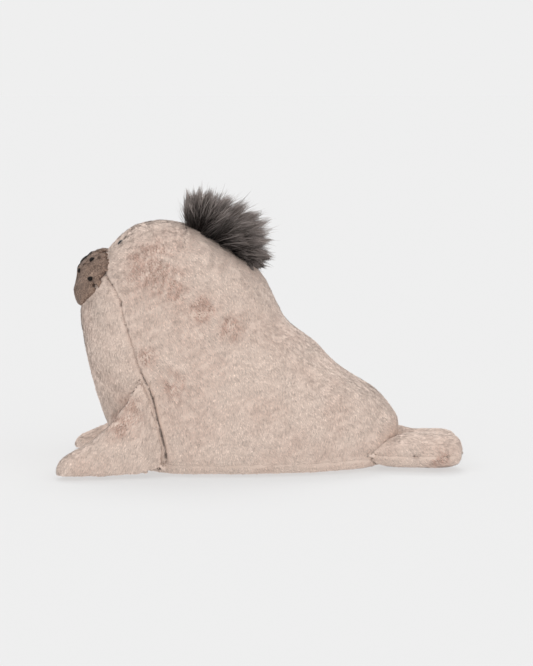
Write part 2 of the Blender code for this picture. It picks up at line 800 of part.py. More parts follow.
def build_body(parts, cutters, plush, filling, pouch_cloth):
    stuffing = add_object("body_filling", body_filling(), filling, parts)
    cut(stuffing, pouch_hollow(), "pouch_hollow", cutters)
    add_object("pellet_pouch", pellet_pouch(), pouch_cloth, parts)
    add_object("base_panel", base_panel(), plush, parts)
    add_object("chest_panel", chest_panel(), plush, parts)
    for side, word in ((-1, "left"), (1, "right")):
        panel = add_object(f"{word}_side_panel", side_panel(side), plush, parts)
        cut(panel, eye_recess(side), f"{word}_eye_recess", cutters)
        cut(stuffing, washer_pocket(side), f"{word}_washer_pocket", cutters)


def build_flippers(parts, plush, filling):
    kinds = (
        ("front", front_point, "outer", "inner", FRONT_FLIPPER_EASE),
        ("tail", tail_point, "upper", "lower", TAIL_FLIPPER_EASE),
    )
    for side, word in ((-1, "left"), (1, "right")):
        for kind, point, first, second, ease in kinds:
            name = f"{word}_{kind}_flipper"
            add_object(f"{name}_{first}", flipper_panel(point, FLIPPER_CLOTH, side, 1), plush, parts)
            add_object(f"{name}_{second}", flipper_panel(point, FLIPPER_CLOTH, side, -1), plush, parts)
            stuffing = flipper_filling(point, FLIPPER_CLOTH + ease, side)
            add_object(f"{name}_filling", stuffing, filling, parts)


def build_face(parts, muzzle_plush, filling, thread, eye_black, washer_white):
    add_object("muzzle_panel", muzzle_panel(), muzzle_plush, parts)
    add_object("muzzle_filling", muzzle_filling(), filling, parts)
    nose_z = MUZZLE_MIDDLE_HEIGHT + NOSE_RISE
    nose = muzzle_stitching(0.0, nose_z, NOSE_WIDTH, NOSE_TALL, NOSE_DOME)
    add_object("nose_embroidery", nose, thread, parts)
    for side, word in ((-1, "left"), (1, "right")):
        for number, (out, up) in enumerate(DOT_PLACES, start=1):
            dot = muzzle_stitching(side * out, MUZZLE_MIDDLE_HEIGHT + up, DOT_WIDTH, DOT_WIDTH, DOT_DOME)
            add_object(f"{word}_whisker_dot_{number}", dot, thread, parts)
        add_object(f"{word}_eye", eye_bead(side), eye_black, parts)
        add_object(f"{word}_eye_washer", lock_washer(side), washer_white, parts)


def main():
    for old in list(bpy.data.objects):
        bpy.data.objects.remove(old, do_unlink=True)
    parts = bpy.data.collections.new("plush_sea_lion")
    cutters = bpy.data.collections.new("cutters")
    bpy.context.scene.collection.children.link(parts)
    bpy.context.scene.collection.children.link(cutters)
    plush = material("beige_plush", PLUSH)
    filling = material("fibre_filling", FILLING)
    thread = material("dark_thread", THREAD_DARK)
    build_body(parts, cutters, plush, filling, material("pouch_cloth", POUCH_CLOTH))
    build_flippers(parts, plush, filling)
    build_face(
        parts,
        material("muzzle_plush", MUZZLE_PLUSH),
        filling,
        thread,
        material("eye_black", EYE_BLACK),
        material("washer_white", WASHER_WHITE),
    )
    add_object("tuft", tuft(), material("tuft_fur", TUFT_FUR), parts)


if __name__ == "__main__":
    main()
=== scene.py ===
"""Plush sea lion: sewn skins with their pile, face and tuft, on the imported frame."""

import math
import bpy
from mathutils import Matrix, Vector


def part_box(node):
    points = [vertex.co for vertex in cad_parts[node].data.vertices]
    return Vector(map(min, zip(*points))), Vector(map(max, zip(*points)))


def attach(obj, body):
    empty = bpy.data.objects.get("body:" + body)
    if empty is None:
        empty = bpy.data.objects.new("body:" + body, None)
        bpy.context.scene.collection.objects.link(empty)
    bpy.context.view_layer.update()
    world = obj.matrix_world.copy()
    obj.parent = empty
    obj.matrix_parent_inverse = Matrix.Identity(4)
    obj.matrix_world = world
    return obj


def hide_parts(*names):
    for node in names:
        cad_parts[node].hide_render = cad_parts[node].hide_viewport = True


bl_info = {
    "name": "Plush sea lion",
    "version": (1, 0, 0),
    "blender": (4, 5, 0),
    "location": "3D View > Sidebar > Sea lion",
    "description": "Dresses the plush sea lion's frame in sewn pile cloth and sets up its studio",
    "category": "Object",
}

from collections import namedtuple

import bmesh
import bpy
import numpy as np
from bpy.props import FloatProperty, FloatVectorProperty, IntProperty, PointerProperty
from mathutils import Vector
from mathutils.bvhtree import BVHTree

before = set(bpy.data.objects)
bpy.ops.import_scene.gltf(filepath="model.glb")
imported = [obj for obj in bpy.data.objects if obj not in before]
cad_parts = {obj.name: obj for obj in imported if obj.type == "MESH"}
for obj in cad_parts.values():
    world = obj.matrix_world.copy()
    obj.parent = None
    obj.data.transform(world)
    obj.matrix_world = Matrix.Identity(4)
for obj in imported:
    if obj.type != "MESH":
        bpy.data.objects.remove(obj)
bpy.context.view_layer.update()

SIDES = ((-1, "left"), (1, "right"))
BODY_PANELS = ("left_side_panel", "right_side_panel", "chest_panel", "base_panel")
UP = np.array((0.0, 0.0, 1.0))

# The lowest that a skin and a blade of pile come to the floor
SKIN_FLOOR = 0.0006
PILE_FLOOR = 0.0003

# Voxel of each remeshed form
BODY_VOXEL = 0.0060
FLIPPER_VOXEL = 0.0042
MUZZLE_VOXEL = 0.0024

# Thickness of a skin, and how its cloth swells: steps, pressure and the most that a point moves
SKIN_THICKNESS = 0.0018
CLOTH_FRAMES = 20
CLOTH_PRESSURE = 4.0
SWELL_CAP = 0.0012

# Body: the top of the base's rim, the top of the base's own pile, how close to a seam a point moves
# on to it, and how much less than others the back seam and the base seam draw the skin in
RIM_TOP = 0.018
BASE_TOP = 0.0035
BODY_SNAP = 0.0020
BACK_SOFTNESS = 0.82
BASE_SOFTNESS = 0.85
# Where the pile of a side is parted in a front and a back piece
SIDE_PARTING = -0.035

# Soft folds of the body, as (side of the toy or 0 for both, (x, z) points, width, depth)
FOLDS = (
    (0, ((-0.0720, 0.2440), (-0.0750, 0.2230)), 0.0028, 0.0012),
    (-1, ((0.0890, 0.0710), (0.0800, 0.0510), (0.0727, 0.0321)), 0.0070, 0.0014),
    (1, ((0.0860, 0.0690), (0.0790, 0.0520), (0.0740, 0.0350)), 0.0070, 0.0014),
    (0, ((0.1180, 0.0560), (0.1090, 0.0400), (0.1080, 0.0200)), 0.0050, 0.0020),
)
# Hollows and bulges of the back, as (x, y, z), reach and height
SWELLS = (
    ((0.0375, 0.0, 0.1430), 0.0150, -0.0016),
    ((0.0645, 0.0, 0.1250), 0.0140, 0.0014),
    ((0.0890, 0.0, 0.1000), 0.0130, -0.0018),
    ((0.1200, 0.0, 0.0800), 0.0200, 0.0014),
    ((-0.1350, -0.0500, 0.2000), 0.0200, 0.0012),
    ((-0.1350, 0.0500, 0.2000), 0.0200, 0.0012),
    ((-0.0400, -0.0750, 0.1200), 0.0280, -0.0012),
    ((0.0300, -0.0800, 0.0600), 0.0320, 0.0012),
    ((-0.0300, 0.0750, 0.1250), 0.0300, -0.0012),
)

# Flippers: the chest seam where the front ones are sewn in, as (height, x), how close to a rim seam
# a point moves on to it, and how much of a body seam's depth a rim seam has
SHOULDER_SEAM = (
    (0.008, -0.091), (0.032, -0.094), (0.052, -0.099), (0.081, -0.106), (0.106, -0.118),
)
FLIPPER_SNAP = 0.0014
RIM_SEAM_SHARE = 0.4
# How much flatter the right flippers' tips lie, from where on, and how far back the front one's is
RIGHT_FRONT_TIP = -0.120
RIGHT_FRONT_FLATTER = 0.27
RIGHT_FRONT_BACK = 0.0035
RIGHT_TAIL_TIP = 0.130
RIGHT_TAIL_FLATTER = 0.17
# Which way their pile lies: along the toy, outwards and upwards
FRONT_LEAN = (-0.55, 0.1, -0.85)
TAIL_LEAN = (0.65, 0.1, -0.75)
# Where a tail flipper's stuffing begins, and how far ahead of the seam a front one's does
TAIL_STUFFING = 0.153
FRONT_STUFFING = 0.022
# How far ahead of the seam a front flipper is drawn in, and how deep under the body's skin
ROOT_AHEAD = 0.016
ROOT_UNDER = 0.0012
# How far a tail flipper's root is drawn into the rump, how much narrower and to what height
TAIL_ROOT_IN = 0.013
TAIL_ROOT_NARROWER = 0.16
TAIL_ROOT_HEIGHT = 0.018

# Muzzle: how its form is widened and lifted on the head, how far its rim is drawn under, how full
# it is above and how flat below, how deep the nose lies, and how far the smoothed skin is let out
MUZZLE_SCALE = (1.0, 1.03, 1.06)
MUZZLE_LIFT = (0.0, 0.0, 0.0010)
MUZZLE_RIM_PULL = 0.0055
MUZZLE_FULLNESS = (-0.0042, 0.0, 0.0012)
MUZZLE_FULL_FROM = 0.186
MUZZLE_FULL_TO = 0.206
MUZZLE_FLATNESS = 0.0022
MUZZLE_FLAT_BELOW = 0.176
NOSE_DIP = 0.0017
MUZZLE_LET_OUT = 0.0005
# Share of its CAD width that the nose is stitched, and of a patch's size that is bare of pile
NOSE_WIDTH = 0.84
BARE_SHARE = 1.16
# Satin stitches of the nose and of a dot: gap, radius of the thread and height of the dome
NOSE_STITCH = (0.00062, 0.00046, 0.0012)
DOT_STITCH = (0.0006, 0.00042, 0.0012)

# Coats of pile: a blade's length and width, blades to a square metre, how many degrees its root and
# its tip stand up from the skin, and how far it is pulled aside
Coat = namedtuple("Coat", "length width density rise tuck pull")
BODY_COAT = Coat(0.0036, 0.00088, 1.28e6, 23.0, 7.0, 0.00016)
FLIPPER_COAT = Coat(0.0034, 0.00084, 1.4e6, 22.0, 6.0, 0.00016)
BASE_COAT = Coat(0.0030, 0.00110, 0.35e6, 22.0, 4.0, 0.00015)
MUZZLE_COAT = Coat(0.0020, 0.00064, 4.4e6, 28.0, 10.0, 0.00018)
# How deep a blade's root is in the skin. The body is bare deeper than this inside another form, and
# nearer than this under one. A flipper has pile down to this depth in the body.
BLADE_ROOT = 0.0005
DEEP_IN = 0.0010
CLOSE_UNDER = 0.0012
BARELY_UNDER = 0.0014

# The tuft's fan from front to back, as (share of the strip, lean from upright, length)
TUFT_FAN = (
    (0.00, -14.0, 0.038),
    (0.12, 9.0, 0.046),
    (0.25, 37.0, 0.056),
    (0.40, 54.0, 0.059),
    (0.55, 67.0, 0.058),
    (0.70, 78.0, 0.050),
    (0.85, 91.0, 0.037),
    (1.00, 118.0, 0.019),
)

# Spots where the pile has rosier colour and painted shade, where the nap turns and looks darker, as
# (x, z) and reach
NAP_SHADE_SPOTS = (
    ((-0.106, 0.2060), 0.0210),
    ((-0.088, 0.1880), 0.0180),
    ((-0.055, 0.1660), 0.0130),
    ((-0.030, 0.1460), 0.0120),
    ((-0.112, 0.1180), 0.0110),
    ((-0.084, 0.0930), 0.0130),
    ((-0.124, 0.0700), 0.0110),
    ((-0.134, 0.0530), 0.0110),
    ((0.175, 0.0130), 0.0100),
)

# Eyes: how deep and how far one draws the skin in, how far the pile keeps clear of it, the height
# of its dome, the flatness of its underside and how deep it sits
EYE_DIMPLE = 0.0034
EYE_DIMPLE_REACH = 0.0062
EYE_CLEAR = 0.0038
EYE_DOME = 0.0034
EYE_UNDERSIDE = 0.35
EYE_SINK = 0.0026

# Where the pile parts on the face, and how far from there it turns down
PARTING = np.array((-0.170, 0.0, 0.1850))
PARTING_REACH = 0.07

# Tuft: half its strip's width, the strip's middle line as (x, z), and half a strand's widths
TUFT_HALF_WIDTH = 0.0125
TUFT_LINE = (
    (-0.0640, 0.2420), (-0.0560, 0.2385), (-0.0465, 0.2340), (-0.0355, 0.2280),
    (-0.0240, 0.2190), (-0.0120, 0.2085),
)
STRAND_WIDTHS = 0.00030 * np.array((0.8, 1.0, 0.95, 0.7))

# Studio: each lamp as (name, strength, turn, softness), the strength of the surroundings' light and
# of the floor's glow, which lights the toy from below, and the camera's slope, distance, aim and
# view
LAMPS = (
    ("key", 0.62, (38.0, -18.0, -28.0), 50.0),
    ("fill", 0.70, (52.0, 0.0, 42.0), 70.0),
    ("back", 1.05, (-26.0, 0.0, 0.0), 32.0),
)
SURROUNDINGS = 0.64
FLOOR_FILL_GLOW = 1.35
CAMERA_SLOPE = 7.0
CAMERA_DISTANCE = 2.15
CAMERA_AIM = (0.0065, 0.0, 0.132)
CAMERA_VIEW = 0.666
SENSOR_WIDTH = 36.0

forms = {}


def set_size(name, default, text):
    return FloatProperty(name=name, default=default, description=text, unit="LENGTH")


def set_colour(name, default, text):
    return FloatVectorProperty(
        name=name, default=default, description=text, subtype="COLOR", size=4, min=0.0, max=1.0
    )


class PlushSizes(bpy.types.PropertyGroup):
    """Sizes of the skins, the pile and the tuft."""

    body_inset: set_size("Body inset", 0.0010, "How far the body's skin lies under its pile")
    flipper_inset: set_size("Flipper inset", 0.0009, "How far a flipper's skin lies under its pile")
    muzzle_inset: set_size("Muzzle inset", 0.0005, "How far the muzzle's skin lies under its pile")
    seam_depth: set_size("Seam depth", 0.0022, "How deep a seam draws the skin in")
    seam_width: set_size("Seam width", 0.0024, "How far from a seam the skin is drawn in")
    pile: FloatProperty(name="Pile", default=1.0, min=0.1, description="Share of all blades")
    strands: IntProperty(name="Strands", default=20000, min=500, description="Strands of the tuft")
    locks: IntProperty(name="Locks", default=120, min=20, description="Locks of the tuft")


class PlushColours(bpy.types.PropertyGroup):
    """Colours of the cloths and threads, in linear light."""

    beige: set_colour("Beige", (0.800, 0.650, 0.560, 1.0), "Tips of the body's pile")
    # Rose is also the colour of the spots of painted nap shade
    rose: set_colour("Rose", (0.600, 0.410, 0.335, 1.0), "Rosy patches of the body's pile")
    ground: set_colour("Ground", (0.610, 0.470, 0.395, 1.0), "Roots of the body's pile")
    brown: set_colour("Brown", (0.450, 0.312, 0.240, 1.0), "Tips of the muzzle's pile")
    umber: set_colour("Umber", (0.190, 0.130, 0.102, 1.0), "Roots of the muzzle's pile")
    tuft_root: set_colour("Tuft root", (0.052, 0.039, 0.034, 1.0), "Roots of the tuft's strands")
    tuft_tip: set_colour("Tuft tip", (0.330, 0.280, 0.258, 1.0), "Tips of the tuft's strands")
    thread: set_colour("Thread", (0.012, 0.009, 0.008, 1.0), "Satin stitches of the nose and dots")
    filling: set_colour("Filling", (0.82, 0.82, 0.80, 1.0), "Fibre filling")
    paper: set_colour("Studio", (0.863, 0.863, 0.863, 1.0), "Background and floor")


class Wire:
    """A socket of a recipe, to write shader maths with."""

    def __init__(self, recipe, socket):
        self.recipe = recipe
        self.socket = socket

    def maths(self, operation, first, second):
        return self.recipe.add("ShaderNodeMath", {"operation": operation}, {0: first, 1: second})

    def __add__(self, other):
        return self.maths("ADD", self, other)

    def __sub__(self, other):
        return self.maths("SUBTRACT", self, other)

    def __rsub__(self, other):
        return self.maths("SUBTRACT", other, self)

    def __mul__(self, other):
        return self.maths("MULTIPLY", self, other)

    def __pow__(self, other):
        return self.maths("POWER", self, other)

    def __rpow__(self, other):
        return self.maths("POWER", other, self)

    __radd__ = __add__
    __rmul__ = __mul__


class Recipe:
    """The node tree of a material or the world, with one way to add a node."""

    def __init__(self, owner):
        owner.use_nodes = True
        self.owner = owner
        self.tree = owner.node_tree
        self.tree.nodes.clear()

    def add(self, kind, settings=None, sockets=None, out=0):
        node = self.tree.nodes.new(kind)
        for name, value in (settings or {}).items():
            setattr(node, name, value)
        for name, value in (sockets or {}).items():
            socket = node.inputs[name]
            if isinstance(value, Wire):
                self.tree.links.new(value.socket, socket)
            else:
                socket.default_value = tuple(value) if hasattr(value, "__len__") else value
        return Wire(self, node.outputs[out]) if len(node.outputs) else node

    def place(self):
        return self.add("ShaderNodeTexCoord", out="Object")

    def attribute(self, name, out="Fac"):
        return self.add("ShaderNodeAttribute", {"attribute_name": name}, out=out)

    def noise(self, scale, detail=2.0, place=None):
        sockets = {"Vector": place or self.place(), "Scale": scale, "Detail": detail}
        return self.add("ShaderNodeTexNoise", None, sockets)

    def between(self, value, low, high):
        sockets = {"Value": value, "From Min": low, "From Max": high}
        return self.add("ShaderNodeMapRange", {"interpolation_type": "SMOOTHSTEP"}, sockets)

    def blend(self, share, first, second):
        return self.add("ShaderNodeMix", {"data_type": "RGBA"}, {0: share, 6: first, 7: second}, 2)

    def brightness(self, colour, value):
        return self.add("ShaderNodeHueSaturation", None, {"Color": colour, "Value": value})

    def bump(self, height, strength, distance):
        sockets = {"Height": height, "Strength": strength, "Distance": distance}
        return self.add("ShaderNodeBump", None, sockets)

    def surface(self, colour, roughness, normal=None, **constants):
        sockets = {"Base Color": colour, "Roughness": roughness}
        if normal is not None:
            sockets["Normal"] = normal
        for name, value in constants.items():
            sockets[name.replace("_", " ")] = value
        shader = self.add("ShaderNodeBsdfPrincipled", None, sockets)
        self.add("ShaderNodeOutputMaterial", None, {"Surface": shader})
        return self.owner


def finish_named(name):
    return Recipe(bpy.data.materials.new(name))


def pile_finish(name, tip, patch, root, cloud, contrast):
    """Pile cloth: blades deeper in colour at the root, in soft patches of two colours, and in spots
    of painted nap shade.
    """
    made = finish_named(name)
    place = made.place()
    large = made.between(made.noise(cloud, 3.0, place), 0.38, 0.66)
    small = made.between(made.noise(cloud * 5.5, 2.0, place), 0.35, 0.7)
    # This attribute pulls the colour towards the patch colour in spots: rosier colour and painted
    # shade where the nap turns
    colour = made.blend(large * 0.34 + small * 0.08 + made.attribute("nap_shade") * 1.5, tip, patch)
    reach = made.between(made.attribute("reach"), 0.0, 0.75)
    colour = made.blend(reach, root, colour)
    value = made.attribute("tone") * contrast + (1.0 - contrast / 2)
    shaded = made.brightness(colour, value)
    constants = {"Sheen_Weight": 0.15, "Sheen_Roughness": 0.6, "Specular_IOR_Level": 0.1}
    return made.surface(shaded, 0.95, made.attribute("outward", "Vector"), **constants)


def skin_finish(name, tip, root, cloud):
    """Backing cloth under the pile: knit ground with short fibres, darkened near a seam as painted
    shade.
    """
    made = finish_named(name)
    place = made.place()
    large = made.noise(cloud, 3.0, place)
    fibres = made.noise(900.0, 2.0, place)
    colour = made.blend(made.between(large, 0.3, 0.7) * 0.4 + fibres * 0.7, root, tip)
    # Painted shade: the backing is darkened near a seam, standing in for the shade in its groove.
    # The muzzle's skin has no seam attribute, so it is darkened all over.
    line = made.between(made.attribute("seam"), 0.0004, 0.0020)
    colour = made.brightness(colour, line * 0.50 + 0.50)
    normal = made.bump(fibres, 0.5, 0.0005)
    return made.surface(colour, 0.97, normal, Sheen_Weight=0.15, Specular_IOR_Level=0.1)


def tuft_finish(colours):
    """Long pile of the tuft: dark at the roots, lighter and browner towards the tips."""
    made = finish_named("tuft_strands")
    reach = made.between(made.attribute("reach"), 0.15, 1.0)
    colour = made.blend(reach**1.15, colours.tuft_root, colours.tuft_tip)
    value = made.attribute("tone") * 0.9 + 0.55
    shaded = made.brightness(colour, value)
    return made.surface(shaded, 0.62, made.attribute("outward", "Vector"), Specular_IOR_Level=0.3)


def thread_finish(colours):
    """Satin thread: twisted strands that catch the light."""
    made = finish_named("satin_thread")
    twist = made.noise(1400.0, 1.0)
    colour = made.brightness(colours.thread, twist * 0.9 + 0.6)
    return made.surface(colour, 0.6, made.bump(twist, 0.5, 0.0002), Specular_IOR_Level=0.12)


def bead_finish():
    """Polished black resin with faint depth and hairline marks."""
    made = finish_named("eye_resin")
    mark = made.between(made.noise(260.0, 3.0), 0.45, 0.7)
    colour = made.blend(mark, (0.0045, 0.0040, 0.0040, 1.0), (0.0080, 0.0062, 0.0055, 1.0))
    return made.surface(colour, mark * 0.05 + 0.06, Coat_Roughness=0.04)


def fibre_finish(name, colour):
    """Loose fibre filling."""
    made = finish_named(name)
    wool = made.noise(240.0, 5.0)
    shade = made.brightness(colour, wool * 0.35 + 0.8)
    return made.surface(shade, 1.0, made.bump(wool, 0.8, 0.002), Sheen_Weight=0.3)


def pouch_finish():
    """Plain woven cotton of the pellet pouch."""
    made = finish_named("pouch_cotton")
    place = made.place()
    warp = made.add("ShaderNodeTexWave", None, {"Vector": place, "Scale": 420.0})
    along = {"bands_direction": "Y"}
    weft = made.add("ShaderNodeTexWave", along, {"Vector": place, "Scale": 420.0})
    weave = warp * weft
    colour = made.brightness((0.72, 0.69, 0.62, 1.0), weave * 0.2 + 0.85)
    return made.surface(colour, 0.9, made.bump(weave, 0.4, 0.0004))


def washer_finish():
    """Milky moulded plastic."""
    made = finish_named("washer_plastic")
    cloud = made.noise(180.0, 2.0)
    colour = made.brightness((0.76, 0.76, 0.73, 1.0), cloud * 0.12 + 0.94)
    return made.surface(colour, cloud * 0.12 + 0.36)


def read(items, name, width, kind=np.float32):
    values = np.empty(len(items) * width, kind)
    items.foreach_get(name, values)
    return values.reshape(-1, width) if width > 1 else values


def points_of(obj):
    return read(obj.data.vertices, "co", 3)


def shape_of(obj):
    """The points and normals of an object's mesh, in full precision."""
    return points_of(obj).astype(float), read(obj.data.vertices, "normal", 3).astype(float)


def middle_of(node):
    return np.array(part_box(node)).mean(axis=0)


def lengths_of(vectors):
    return np.linalg.norm(vectors, axis=1)


def bell(values):
    return np.exp(-(values**2))


def unit(vectors):
    return vectors / np.maximum(np.linalg.norm(vectors, axis=-1, keepdims=True), 1e-9)


def ease(values):
    """A smooth step from 0 to 1."""
    t = np.clip(values, 0.0, 1.0)
    return t * t * (3 - 2 * t)


def soft_noise(points, reach, seed, waves=16):
    """A smooth random field, about 1 in spread, that changes over a distance of reach."""
    rng = np.random.default_rng(seed)
    ways = rng.normal(size=(3, waves)) * (1.6 / reach)
    phases = rng.uniform(0.0, 2 * math.pi, waves)
    return np.cos(points @ ways + phases).sum(axis=1) / math.sqrt(waves / 2)


class Form:
    """A shape as arrays of points, normals and triangles, with a search tree."""

    def __init__(self, obj):
        self.points, self.normals = shape_of(obj)
        self.triangles = triangles_of(obj)
        self.tree = tree_of(obj)
        self.seam = np.full(len(self.points), 1.0)
        self.label = np.zeros(len(self.points), int)

    def nearest(self, points):
        """The nearest place on the form to each point, its normal and the point's height."""
        places, normals, heights = [], [], []
        for point in points:
            place, normal, _, _ = self.tree.find_nearest(Vector(point))
            places.append(place)
            normals.append(normal)
            heights.append((Vector(point) - place).dot(normal))
        return np.array(places), np.array(normals), np.array(heights)


def triangles_of(obj):
    obj.data.calc_loop_triangles()
    return read(obj.data.loop_triangles, "vertices", 3, np.int32)


def tree_of(obj):
    return BVHTree.FromPolygons(points_of(obj).tolist(), triangles_of(obj).tolist())


def only(obj):
    """Deselects all and makes obj the one that operators act on."""
    bpy.ops.object.select_all(action="DESELECT")
    obj.select_set(True)
    bpy.context.view_layer.objects.active = obj


def keep(obj, material, nodes=()):
    """Gives a piece its material, slot and body, and the nodes that it stands for."""
    obj.data.materials.clear()
    obj.data.materials.append(material)
    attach(obj, "root")
    if nodes:
        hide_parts(*nodes)


def new_object(name, mesh):
    obj = bpy.data.objects.new(name, mesh)
    bpy.context.scene.collection.objects.link(obj)
    return obj


def mesh_of(name, points, triangles):
    """A mesh from arrays of points and of triangles, three numbers for each."""
    mesh = bpy.data.meshes.new(name)
    mesh.vertices.add(points.size // 3)
    mesh.vertices.foreach_set("co", np.asarray(points, np.float32).ravel())
    mesh.loops.add(triangles.size)
    mesh.loops.foreach_set("vertex_index", np.asarray(triangles, np.int32).ravel())
    mesh.polygons.add(triangles.size // 3)
    starts = np.arange(0, triangles.size, 3, dtype=np.int32)
    mesh.polygons.foreach_set("loop_start", starts)
    mesh.update(calc_edges=True)
    mesh.validate()
    return mesh


def move_points(obj, points):
    obj.data.vertices.foreach_set("co", np.asarray(points, np.float32).ravel())
    obj.data.update()


def apply_modifier(obj, kind, **settings):
    only(obj)
    modifier = obj.modifiers.new(kind.lower(), kind)
    for name, value in settings.items():
        setattr(modifier, name, value)
    bpy.ops.object.modifier_apply(modifier=modifier.name)


def remeshed(name, nodes, voxel):
    """One closed form round copies of CAD nodes, from a voxel remesh."""
    bm = bmesh.new()
    for node in nodes:
        bm.from_mesh(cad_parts[node].data)
    bmesh.ops.remove_doubles(bm, verts=bm.verts, dist=1e-6)
    mesh = bpy.data.meshes.new(name)
    bm.to_mesh(mesh)
    bm.free()
    obj = new_object(name, mesh)
    apply_modifier(obj, "REMESH", mode="VOXEL", voxel_size=voxel)
    keep_largest(obj)
    if not obj.data.polygons:
        raise RuntimeError(f"{name}: the remesh left no faces")
    return obj


def keep_largest(obj):
    """Deletes all but the largest connected shell of a mesh."""
    bm = bmesh.new()
    bm.from_mesh(obj.data)
    left = set(bm.verts)
    shells = []
    while left:
        start = left.pop()
        shell, edge = {start}, [start]
        while edge:
            for link in edge.pop().link_edges:
                for vert in link.verts:
                    if vert in left:
                        left.discard(vert)
                        shell.add(vert)
                        edge.append(vert)
        shells.append(shell)
    shells.sort(key=len)
    for shell in shells[:-1]:
        bmesh.ops.delete(bm, geom=list(shell), context="VERTS")
    bm.to_mesh(obj.data)
    bm.free()


def smooth_points(obj, times):
    apply_modifier(obj, "SMOOTH", factor=0.5, iterations=times)


def inset(obj, depth):
    move_points(obj, points_of(obj) - read(obj.data.vertices, "normal", 3) * depth)


def puff(obj, pins):
    """Lets a skin swell under pressure, held where it is pinned, by no more than the cap."""
    start = points_of(obj)
    group = obj.vertex_groups.new(name="seams")
    group.add(np.nonzero(pins)[0].tolist(), 1.0, "REPLACE")
    cloth = obj.modifiers.new("cloth", "CLOTH")
    cloth.settings.vertex_group_mass = group.name
    cloth.settings.use_pressure = True
    cloth.settings.uniform_pressure_force = CLOTH_PRESSURE
    cloth.settings.effector_weights.gravity = 0.0
    for step in range(1, CLOTH_FRAMES + 1):
        bpy.context.scene.frame_set(step)
    graph = bpy.context.evaluated_depsgraph_get()
    swollen = points_of(obj.evaluated_get(graph))
    obj.modifiers.remove(cloth)
    obj.vertex_groups.clear()
    bpy.context.scene.frame_set(1)
    shift = swollen - start
    length = np.linalg.norm(shift, axis=1, keepdims=True)
    move_points(obj, start + shift * np.minimum(1.0, SWELL_CAP / np.maximum(length, 1e-9)))


def snapped(points, normals, trees, depth, reach):
    """Moves the points within reach of a seam on to it, so that the skins part cleanly."""
    moved = points.copy()
    for i, (point, normal) in enumerate(zip(points, normals)):
        outer = Vector(point + normal * depth)
        found = sorted((tree.find_nearest(outer) for tree in trees), key=lambda hit: hit[3])
        way = np.array(found[1][0] - outer)
        way -= normal * (way @ normal)
        if np.linalg.norm(way) < reach:
            moved[i] += way
    return moved


def seam_distances(points, trees):
    """Each point's nearest panel and the next, and how far it is from the seam between them."""
    gaps = np.array([[tree.find_nearest(Vector(p))[3] for tree in trees] for p in points])
    near = np.argsort(gaps, axis=1)[:, :2]
    order = np.sort(gaps, axis=1)
    seam = np.sqrt(np.maximum(order[:, 1] ** 2 - order[:, 0] ** 2, 0.0))
    return near[:, 0], near[:, 1], seam


def line_distance(flat, line):
    """How far flat points are from a line of points."""
    best = np.full(len(flat), 1.0)
    for start, end in zip(line, line[1:]):
        a, way = np.array(start), np.array(end) - np.array(start)
        t = np.clip((flat - a) @ way / (way @ way), 0.0, 1.0)
        best = np.minimum(best, lengths_of(flat - a - t[:, None] * way))
    return best


def pucker(points, seam, depth, width):
    """How far a seam draws the skin in, with small puckers along it."""
    ripple = 1.0 + 0.3 * soft_noise(points, 0.006, 71)
    return depth * bell(seam / width) + 0.35 * depth * ripple * bell(seam / (4 * width))


def fold_depths(points, normals):
    """How far the body's folds and hollows draw its skin in."""
    depth = np.zeros(len(points))
    for side, line, width, deep in FOLDS:
        away = line_distance(points[:, (0, 2)], line)
        facing = np.abs(normals[:, 1]) > 0.25
        if side:
            facing &= points[:, 1] * side > 0
        depth += deep * facing * bell(away / width)
    for centre, reach, height in SWELLS:
        depth -= height * bell(lengths_of(points - np.array(centre)) / reach)
    return depth


def split_skin(obj, label, seam, names):
    """Cuts a form into one skin for each label, each a shell with its own thickness."""
    skins = []
    faces = [tuple(p.vertices) for p in obj.data.polygons]
    points = points_of(obj)
    most = [np.bincount(label[list(f)], seam[list(f)] + 1e-6).argmax() for f in faces]
    for number, name in enumerate(names):
        own = [f for f, panel in zip(faces, most) if panel == number]
        used = sorted({v for f in own for v in f})
        index = {v: i for i, v in enumerate(used)}
        mesh = bpy.data.meshes.new(name)
        mesh.from_pydata(points[used].tolist(), [], [[index[v] for v in f] for f in own])
        write_values(mesh, "seam", seam[used])
        skin = new_object(name, mesh)
        only(skin)
        bpy.ops.object.shade_smooth()
        apply_modifier(skin, "SOLIDIFY", thickness=SKIN_THICKNESS, offset=-1.0)
        skins.append(skin)
    bpy.data.objects.remove(obj)
    return skins


def areas_of(form, chosen):
    """The area of each chosen triangle."""
    a, b, c = (form.points[form.triangles[chosen][:, k]] for k in range(3))
    return lengths_of(np.cross(b - a, c - a)) / 2


def scatter(form, chosen, count, rng):
    """Random places on chosen triangles, by area, with their normals and seam distances."""
    corners = form.triangles[chosen]
    area = areas_of(form, chosen)
    pick = rng.choice(len(corners), count, p=area / area.sum())
    u, v = rng.random((2, count))
    flip = u + v > 1
    u[flip], v[flip] = 1 - u[flip], 1 - v[flip]
    weights = np.stack((1 - u - v, u, v), axis=1)[:, :, None]
    own = corners[pick]
    points = (form.points[own] * weights).sum(axis=1)
    normals = unit((form.normals[own] * weights).sum(axis=1))
    seam = (form.seam[own] * weights[:, :, 0]).sum(axis=1)
    return points, normals, seam


def lay(points, normals, lean, swirl, seed):
    """Which way the pile lies: along lean, turned about the normal by soft noise."""
    flat = unit(lean - normals * (lean * normals).sum(axis=1, keepdims=True))
    turn = swirl * soft_noise(points, 0.035, seed) + 0.09 * soft_noise(points, 0.007, seed + 1)
    turn = turn[:, None]
    return flat * np.cos(turn) + np.cross(normals, flat) * np.sin(turn)


def lay_out(mesh, count, corners):
    """Gives each of count blades or strands its own cell of the UV square."""
    columns = math.ceil(math.sqrt(count))
    cell = np.arange(count)
    origin = np.stack((cell % columns, cell // columns), axis=1)[:, None, :]
    places = (origin + np.array(corners)) / columns
    layer = mesh.uv_layers.new(name="OFBake")
    layer.data.foreach_set("uv", places.astype(np.float32).ravel())


